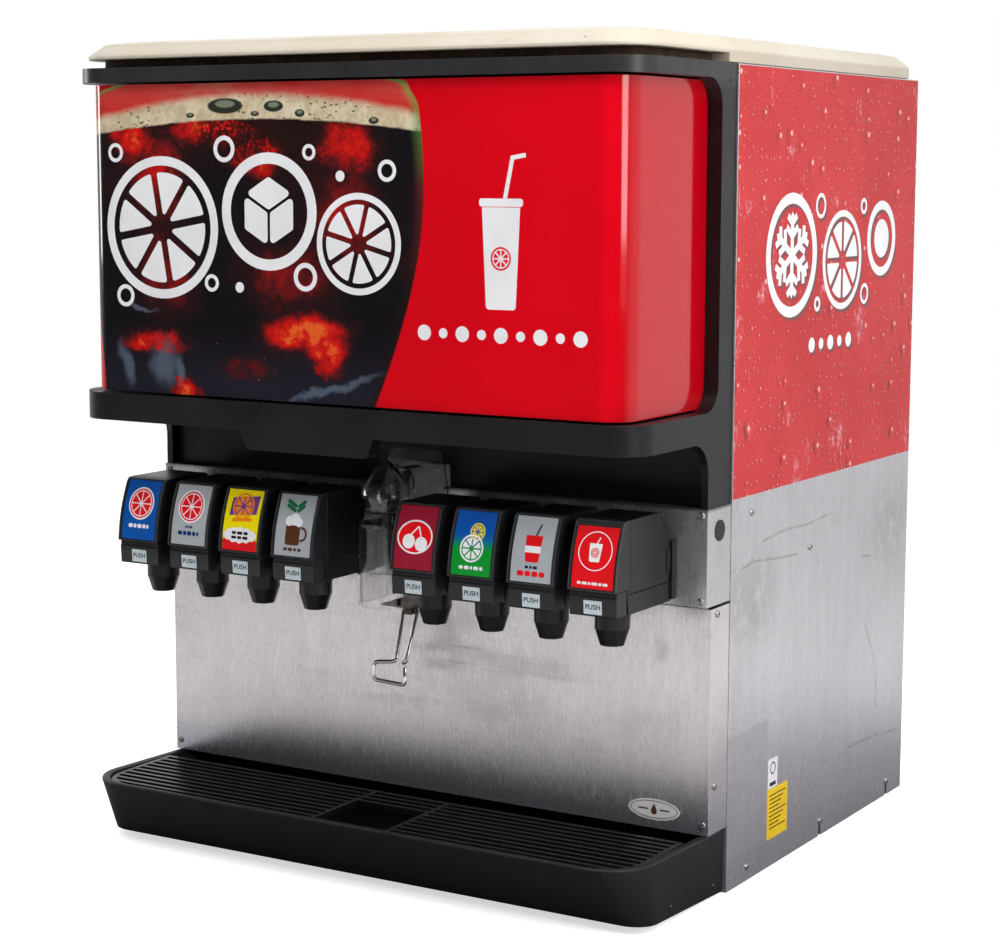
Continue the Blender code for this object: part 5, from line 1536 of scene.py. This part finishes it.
def valve_cover(name, x):
    """The snap-on cover: a fascia that holds the card, its rim in a lighter black as a painted highlight on
    the fascia's rounded edge, and the housing and clip behind it.
    """
    half, split, seam, top = COVER_HALF, COVER_SPLIT, COVER_SEAM, COVER_TOP
    foot, head = COVER_FOOT[1], COVER_HEAD[1]
    join = split - 0.0004
    heights = [foot + (head - foot) * step / 14 for step in range(15)]
    face = [(cover_front(z), z) for z in heights]
    fascia = [(join, foot), *face, (-0.1775, 0.4484), (-0.1735, 0.4495), (join, top)]
    low, high = CARD_Z
    line = [(cover_front(z, 0.0011), z) for z in [low + (high - low) * step / 12 for step in range(13)]]
    pocket = [(-0.215, low), (line[0][0], low), *line[1:-1], (line[-1][0], high), (-0.215, high)]
    cutter = prism("YZ", pocket, x - CARD_HALF - 0.0004, x + CARD_HALF + 0.0004)
    mesh = combined(prism("YZ", fascia, x - half, x + half), [cutter], "DIFFERENCE")
    lug = block((x - half, -0.1718, seam), (x + half, join, foot + 0.0002))
    mesh = combined(mesh, [lug], "UNION")
    piece(f"{name}_fascia", mesh, "cabinet", BLACK_FACE, "black_plastic", (f"{name}_cover",), 0.0009, 30)
    outer = [(cover_front(z, -0.0006), z) for z in heights]
    inner = [(cover_front(z, 0.0016), z) for z in heights]
    band = [*outer, (-0.1778, 0.4491), (-0.1755, 0.4491), (-0.1755, 0.4470), *inner[::-1]]
    mesh = prism("YZ", band, x - half - 0.0002, x + half + 0.0002)
    opening = block((x - half + 0.0014, -0.23, foot + 0.0011), (x + half - 0.0014, -0.15, 0.4472))
    mesh = combined(mesh, [opening], "DIFFERENCE")
    # The rim's lighter black is a painted highlight on the fascia's rounded edge.
    piece(f"{name}_rim", mesh, "cabinet", BLACK_RIM_HIGHLIGHT, "black_plastic", (), 0.0004, 30)
    housing = (
        (split, seam, 0),
        (-0.0722, seam, 0),
        (-0.0722, 0.4110, 0.006),
        (-0.1000, top, 0.006),
        (split, top, 0),
    )
    mesh = prism("YZ", rounded(housing, 6), x - half, x + half)
    hollow = block((x - half + 0.0025, split - 0.01, seam - CLEAR_OF), (x + half - 0.0025, -0.02, 0.4090))
    mesh = combined(mesh, [hollow], "DIFFERENCE")
    piece(f"{name}_housing", mesh, "cabinet", BLACK, "black_plastic", (), 0.0010, 30)
    clip = block((x - half - 0.0012, -0.0805, 0.3800), (x + half + 0.0012, -0.0735, 0.4060))
    piece(f"{name}_clip", clip, "cabinet", BLACK, "black_plastic", (), 0.0008, 30)


def valve_button(name, x, body):
    """The press plate, with a step across its top and a pale label."""
    low, high = spread(f"{name}_button")
    step_z, step_in = high.z - 0.0062, 0.0012
    outline = (
        (high.y, low.z, 0),
        (low.y + 0.0012, low.z, 0.0016),
        (low.y, step_z, 0.0006),
        (low.y + step_in, step_z + 0.0010, 0),
        (low.y + step_in, high.z, 0.0010),
        (high.y, high.z, 0),
    )
    mesh = prism("YZ", rounded(outline, 4), low.x, high.x)
    piece(f"{name}_button_look", mesh, body, BLACK_FACE, "black_plastic", (f"{name}_button",), 0.0008, 28)
    lean = 0.0012 / (step_z - low.z)
    middle = 0.3570
    outward = Vector((0, -1, -lean)).normalized()

    def surface(u, v):
        z = middle + v
        return Vector((x + u, low.y + 0.0012 - lean * (z - low.z), z)), outward

    label = rectangle(0, 0, 0.0220, 0.0150, 0.0004)
    layers = [(INKS["paper"], label), (INKS["word"], word_shapes("PUSH", 0, 0.0003, 0.0078))]
    printed(f"{name}_button_label", body, "graphic_sheet", surface, layers, lift=0.0001)


def valve_nozzle(name, x, body):
    """The twist-off nozzle: a round collar, and an eight-sided taper down to its mouth."""
    low, high = spread(f"{name}_nozzle")
    centre = Vector((x, (low.y + high.y) / 2, high.z))
    top_radius, mouth, length = (high.x - low.x) / 2, 0.0133, high.z - low.z
    rings = []
    profile = (
        (0.0195, 0.0, 0.0),
        (top_radius, -0.0006, 0.0),
        (top_radius, -0.0045, 0.0),
        (top_radius - 0.0006, -0.0050, 0.0),
        (top_radius - 0.0006, -0.0150, 0.1),
        (top_radius - 0.0004, -0.0190, 0.6),
        (0.0186, -0.0215, 1.0),
        (mouth + 0.0004, -length + 0.0006, 1.0),
        (mouth, -length, 1.0),
        (mouth - 0.0018, -length, 0.6),
        (mouth - 0.0022, -length + 0.0030, 0.0),
    )
    for radius, height, facet in profile:
        points = []
        for step in range(64):
            angle = math.tau * step / 64
            to_middle = (angle % (math.pi / 4)) - math.pi / 8
            flat = math.cos(math.pi / 8) / math.cos(to_middle)
            reach = radius * (1 - facet + facet * min(1.0, flat * 1.035))
            points.append(centre + Vector((reach * math.cos(angle), reach * math.sin(angle), height)))
        rings.append(points)
    mesh = lofted(rings, name)
    piece(f"{name}_nozzle_look", mesh, body, BLACK, "black_plastic", (f"{name}_nozzle",), smooth=24)


def caption(y, height, lengths, gap=0.0016):
    """Rounded bars in a row, standing in for a printed word."""
    total = sum(lengths) + gap * (len(lengths) - 1)
    start = -total / 2
    shapes = []
    for length in lengths:
        shapes += rectangle(start + length / 2, y, length, height, height * 0.35)
        start += length + gap
    return shapes


def emblem(y, radius):
    """Layers for a round badge: a white border, and a red slice of citrus on white."""
    return [
        (INKS["white"], disc(0, y, radius, 56)),
        (INKS["red"], wheel(0, y, radius * 0.90, rim=0.10, gap=0.04)),
    ]


def card_art(number):
    """(ink, shapes) layers for one flavour card. Its foot's middle is at 0, 0."""
    white = INKS["white"]
    if number == 1:
        word = caption(0.0165, 0.0048, (0.0060, 0.0045, 0.0060, 0.0045, 0.0030))
        return [(INKS["blue"], card_sheet()), *emblem(0.0430, 0.0190), (white, word)]
    if number == 2:
        small = caption(0.0215, 0.0026, (0.0030, 0.0024, 0.0034), 0.0010)
        word = caption(0.0140, 0.0048, (0.0060, 0.0045, 0.0060, 0.0045, 0.0030))
        return [(INKS["silver"], card_sheet()), *emblem(0.0450, 0.0190), (INKS["deep_blue"], small + word)]
    if number == 3:
        turns = [(math.tau * step / 28, 0.0100 if step % 2 else 0.0078) for step in range(28)]
        burst = [[(0.024 * math.cos(a), 0.0180 + reach * math.sin(a)) for a, reach in turns]]
        back = [[(-0.0190, 0.0400), (0.0200, 0.0430), (0.0215, 0.0640), (-0.0175, 0.0600)]]
        base = rectangle(0, 0.0065, CARD_HALF * 2 - 0.0006, 0.0124)
        words = caption(0.0205, 0.0034, (0.0060, 0.0080, 0.0060))
        words += caption(0.0152, 0.0034, (0.0070, 0.0060, 0.0075))
        stripe = capsule((-0.012, 0.0350), (0.013, 0.0365), 0.0036)
        return [
            (INKS["yellow"], card_sheet()),
            (INKS["purple"], back),
            (INKS["red"], base),
            (INKS["orange"], wheel(0, 0.0510, 0.0150) + stripe),
            (white, burst),
            (INKS["black"], words),
        ]
    if number == 4:
        mug = rectangle(-0.001, 0.0250, 0.0200, 0.0240, 0.003)
        mug += ring(0.0108, 0.026, 0.0085, 0.0026, -98, 196, 20)
        froth_top = disc(-0.007, 0.040, 0.0058, 24) + disc(0.0065, 0.039, 0.0050, 24)
        leaf = []
        for side, reach in ((-1, 0.013), (1, 0.009)):
            for lift in (0.0, 0.005):
                leaf += capsule((side * 0.0025, 0.0520 + lift), (side * reach, 0.0570 + lift), 0.0042)
        word = caption(0.0080, 0.0036, (0.0050, 0.0060, 0.0040, 0.0050))
        layers = [(INKS["silver"], card_sheet()), (INKS["leaf"], leaf), (INKS["brown"], mug + word)]
        return layers + [(white, froth_top), (white, disc(0.0002, 0.042, 0.0068, 24))]
    if number == 5:
        cherries = disc(-0.0075, 0.0310, 0.0080, 32) + disc(0.0090, 0.0290, 0.0080, 32)
        stems = bar((-0.0065, 0.037), (0.0030, 0.0475), 0.0016)
        stems += bar((0.0085, 0.036), (0.0038, 0.0475), 0.0016)
        frame_ring = ring(0, 0.0360, 0.0232, 0.0018, steps=56, flat=0.80)
        field = disc(0, 0.0360, 0.0222, 56, 0.80)
        layers = [(INKS["dark_red"], card_sheet()), (INKS["red"], field)]
        return layers + [(white, cherries + frame_ring), (white, stems)]
    if number == 6:
        sun = wheel(0.0040, 0.0480, 0.0095, rim=0.16)
        slice_art = wheel(-0.0010, 0.0300, 0.0150)
        word = caption(0.0090, 0.0040, (0.0050, 0.0060, 0.0030, 0.0060, 0.0040))
        return [(INKS["blue_green"], card_sheet()), (INKS["yellow"], sun), (white, slice_art + word)]
    if number == 7:
        cup = tumbler(0, 0.0220, 0.0210, 0.0280)
        band = rectangle(0, 0.0355, 0.0195, 0.0070)
        straw = bar((0.002, 0.0500), (0.0065, 0.0620), 0.0018)
        small = caption(0.0165, 0.0030, (0.0040, 0.0030, 0.0050))
        word = caption(0.0095, 0.0056, (0.0080, 0.0070, 0.0075, 0.0070))
        return [
            (INKS["silver"], card_sheet()),
            (INKS["red"], cup + word),
            (white, band),
            (INKS["black"], straw + small),
        ]
    circle = ring(0, 0.0400, 0.0205, 0.0011, steps=64)
    cup = tumbler(0, 0.0290, 0.0155, 0.0190) + bar((0.001, 0.0482), (0.004, 0.0545), 0.0014)
    words = caption(0.0060, 0.0030, (0.0045, 0.0060, 0.0030, 0.0070, 0.0040, 0.0060), 0.0013)
    slice_art = wheel(0, 0.0385, 0.0050, rim=0.2)
    return [(INKS["red"], card_sheet()), (white, circle + cup + words), (INKS["red"], slice_art)]


def card_sheet():
    """A card's whole face."""
    height = CARD_Z[1] - CARD_Z[0]
    return rectangle(0, height / 2, CARD_HALF * 2, height - 0.0006)


def valve_card(number, x):
    """The flavour card, bowed like the cover's face."""
    tall = CARD_Z[1] - CARD_Z[0]

    def surface(u, v):
        z = CARD_Z[0] + v
        ahead = cover_front(z + 0.0005) - cover_front(z - 0.0005)
        return Vector((x + u, cover_front(z, 0.0008), z)), Vector((0, -0.001, ahead)).normalized()

    layers = card_art(number)
    if number == 8:
        height = tall - LAST_CARD_SHORT
        layers[0] = (layers[0][0], rectangle(0, height / 2 + 0.0003, CARD_HALF * 2, height))
    printed(f"valve_{number}_card", "cabinet", "graphic_sheet", surface, layers, cuts=12, tall=tall)


def valves():
    """Eight valves: block, cover, card, press plate and nozzle."""
    for number in range(1, 9):
        name = f"valve_{number}"
        low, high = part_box(f"{name}_cover")
        x = (low.x + high.x) / 2
        refined(f"{name}_block", BLACK, "black_plastic", edge=0.0010)
        valve_cover(name, x)
        valve_card(number, x)
        valve_button(name, x, f"{name}_button")
        valve_nozzle(name, x, f"{name}_nozzle")


# --- stage ---


def floor():
    """A pale floor, white to the camera up to its edge. What the steel mirrors is darker near the object."""
    paint = Paint("floor_pale")
    x, y = paint.axes()[:2]
    away = paint.far(x, y, (0.0, 0.20), (1.0, 1.0))
    mirrored = paint.shades(
        away * 0.5,
        (0.18, (0.12, 0.12, 0.13)),
        (0.34, (0.26, 0.26, 0.28)),
        (0.56, (0.90, 0.90, 0.90)),
    )
    seen = paint.number(paint.node("ShaderNodeLightPath").outputs["Is Camera Ray"])
    cloud = paint.noise(1.2, 2.0)
    pale = paint.mix(paint.ramp(cloud, 0.3, 0.7), (0.93, 0.93, 0.93), (0.90, 0.90, 0.90))
    glow = seen * 0.62
    base = paint.mix(seen, mirrored, pale)
    paint.finish(Base_Color=base, Roughness=0.8, Emission_Color=(1.0, 1.0, 1.0), Emission_Strength=glow)
    mesh = block((-2.6, -3.2, -0.02), (3.0, 4.2, -0.0005), "floor")
    mesh.transform(TO_ROW)
    mesh.materials.append(paint.material)
    obj = bpy.data.objects.new("floor", mesh)
    bpy.context.scene.collection.objects.link(obj)


CAMERA_TURN = (31.10, 7.61, 0.14)  # azimuth, elevation and roll, in degrees
CAMERA_PLACE = (1.4634, -2.2971, 0.8198)
CAMERA_LENS = 82.23


def camera():
    """The camera, in front of the object and to its right."""
    azimuth, elevation, roll = (math.radians(angle) for angle in CAMERA_TURN)
    level = math.cos(elevation)
    back = Vector((math.sin(azimuth) * level, -math.cos(azimuth) * level, math.sin(elevation)))
    right = (-back).cross(Vector((0, 0, 1))).normalized()
    up = back.cross(right)
    tilt = Matrix.Rotation(roll, 3, back)
    right, up = tilt @ right, tilt @ up
    data = bpy.data.cameras.new("camera")
    data.lens = CAMERA_LENS
    data.sensor_width = 36.0
    data.dof.use_dof = False
    obj = bpy.data.objects.new("camera", data)
    turn = Matrix((right, up, back)).transposed().to_4x4()
    obj.matrix_world = TO_ROW @ Matrix.Translation(CAMERA_PLACE) @ turn
    bpy.context.scene.collection.objects.link(obj)
    bpy.context.scene.camera = obj


def softbox(name, azimuth, distance, height, size, power, colour=(1, 1, 1)):
    """An area light that faces the object. Azimuth 0 is in front, and 90 is to the right."""
    turn = math.radians(azimuth)
    target = Vector((0, 0.0, 0.55))
    place = Vector((math.sin(turn) * distance, -math.cos(turn) * distance, height))
    data = bpy.data.lights.new(name, "AREA")
    data.shape = "RECTANGLE"
    data.size, data.size_y = size
    data.energy = power
    data.color = colour
    obj = bpy.data.objects.new(name, data)
    obj.location = place
    obj.rotation_euler = (target - place).to_track_quat("-Z", "Y").to_euler()
    bpy.context.scene.collection.objects.link(obj)
    obj.visible_camera = False
    return obj


def world():
    """White all round for the camera. For the light, white behind the object and dim in front of it."""
    made = bpy.data.worlds.new("studio")
    bpy.context.scene.world = made
    made.use_nodes = True
    tree = made.node_tree
    tree.nodes.clear()
    output = tree.nodes.new("ShaderNodeOutputWorld")
    light = tree.nodes.new("ShaderNodeBackground")
    seen = tree.nodes.new("ShaderNodeBackground")
    choice = tree.nodes.new("ShaderNodeMixShader")
    rays = tree.nodes.new("ShaderNodeLightPath")
    place = tree.nodes.new("ShaderNodeTexCoord")
    split = tree.nodes.new("ShaderNodeSeparateXYZ")
    ramp = tree.nodes.new("ShaderNodeMapRange")
    ramp.interpolation_type = "SMOOTHSTEP"
    ramp.inputs["From Min"].default_value = -0.35
    ramp.inputs["From Max"].default_value = 0.30
    ramp.inputs["To Min"].default_value = 0.07
    ramp.inputs["To Max"].default_value = 0.86
    seen.inputs["Strength"].default_value = 1.0
    links = tree.links
    links.new(place.outputs["Generated"], split.inputs[0])
    links.new(split.outputs["Y"], ramp.inputs["Value"])
    links.new(ramp.outputs[0], light.inputs["Strength"])
    links.new(rays.outputs["Is Camera Ray"], choice.inputs[0])
    links.new(light.outputs[0], choice.inputs[1])
    links.new(seen.outputs[0], choice.inputs[2])
    links.new(choice.outputs[0], output.inputs[0])
    for background in (light, seen):
        background.inputs["Color"].default_value = (1, 1, 1, 1)


def lights():
    """Soft light from the right, the left and above, and the white world."""
    softbox("side_softbox", 66, 2.4, 1.55, (0.85, 1.9), 37)
    softbox("left_window", -80, 2.6, 0.95, (0.45, 0.65), 9)
    softbox("top_softbox", 8, 1.4, 3.0, (2.4, 1.8), 62)
    world()


cabinet()
side_decals()
side_labels()
lid()
merchandiser_frame()
graphic_panel()
steel_front()
drip_tray()
ice_chute()
ice_lever()
valves()
floor()
lights()
camera()

bpy.context.scene.view_settings.view_transform = "Standard"
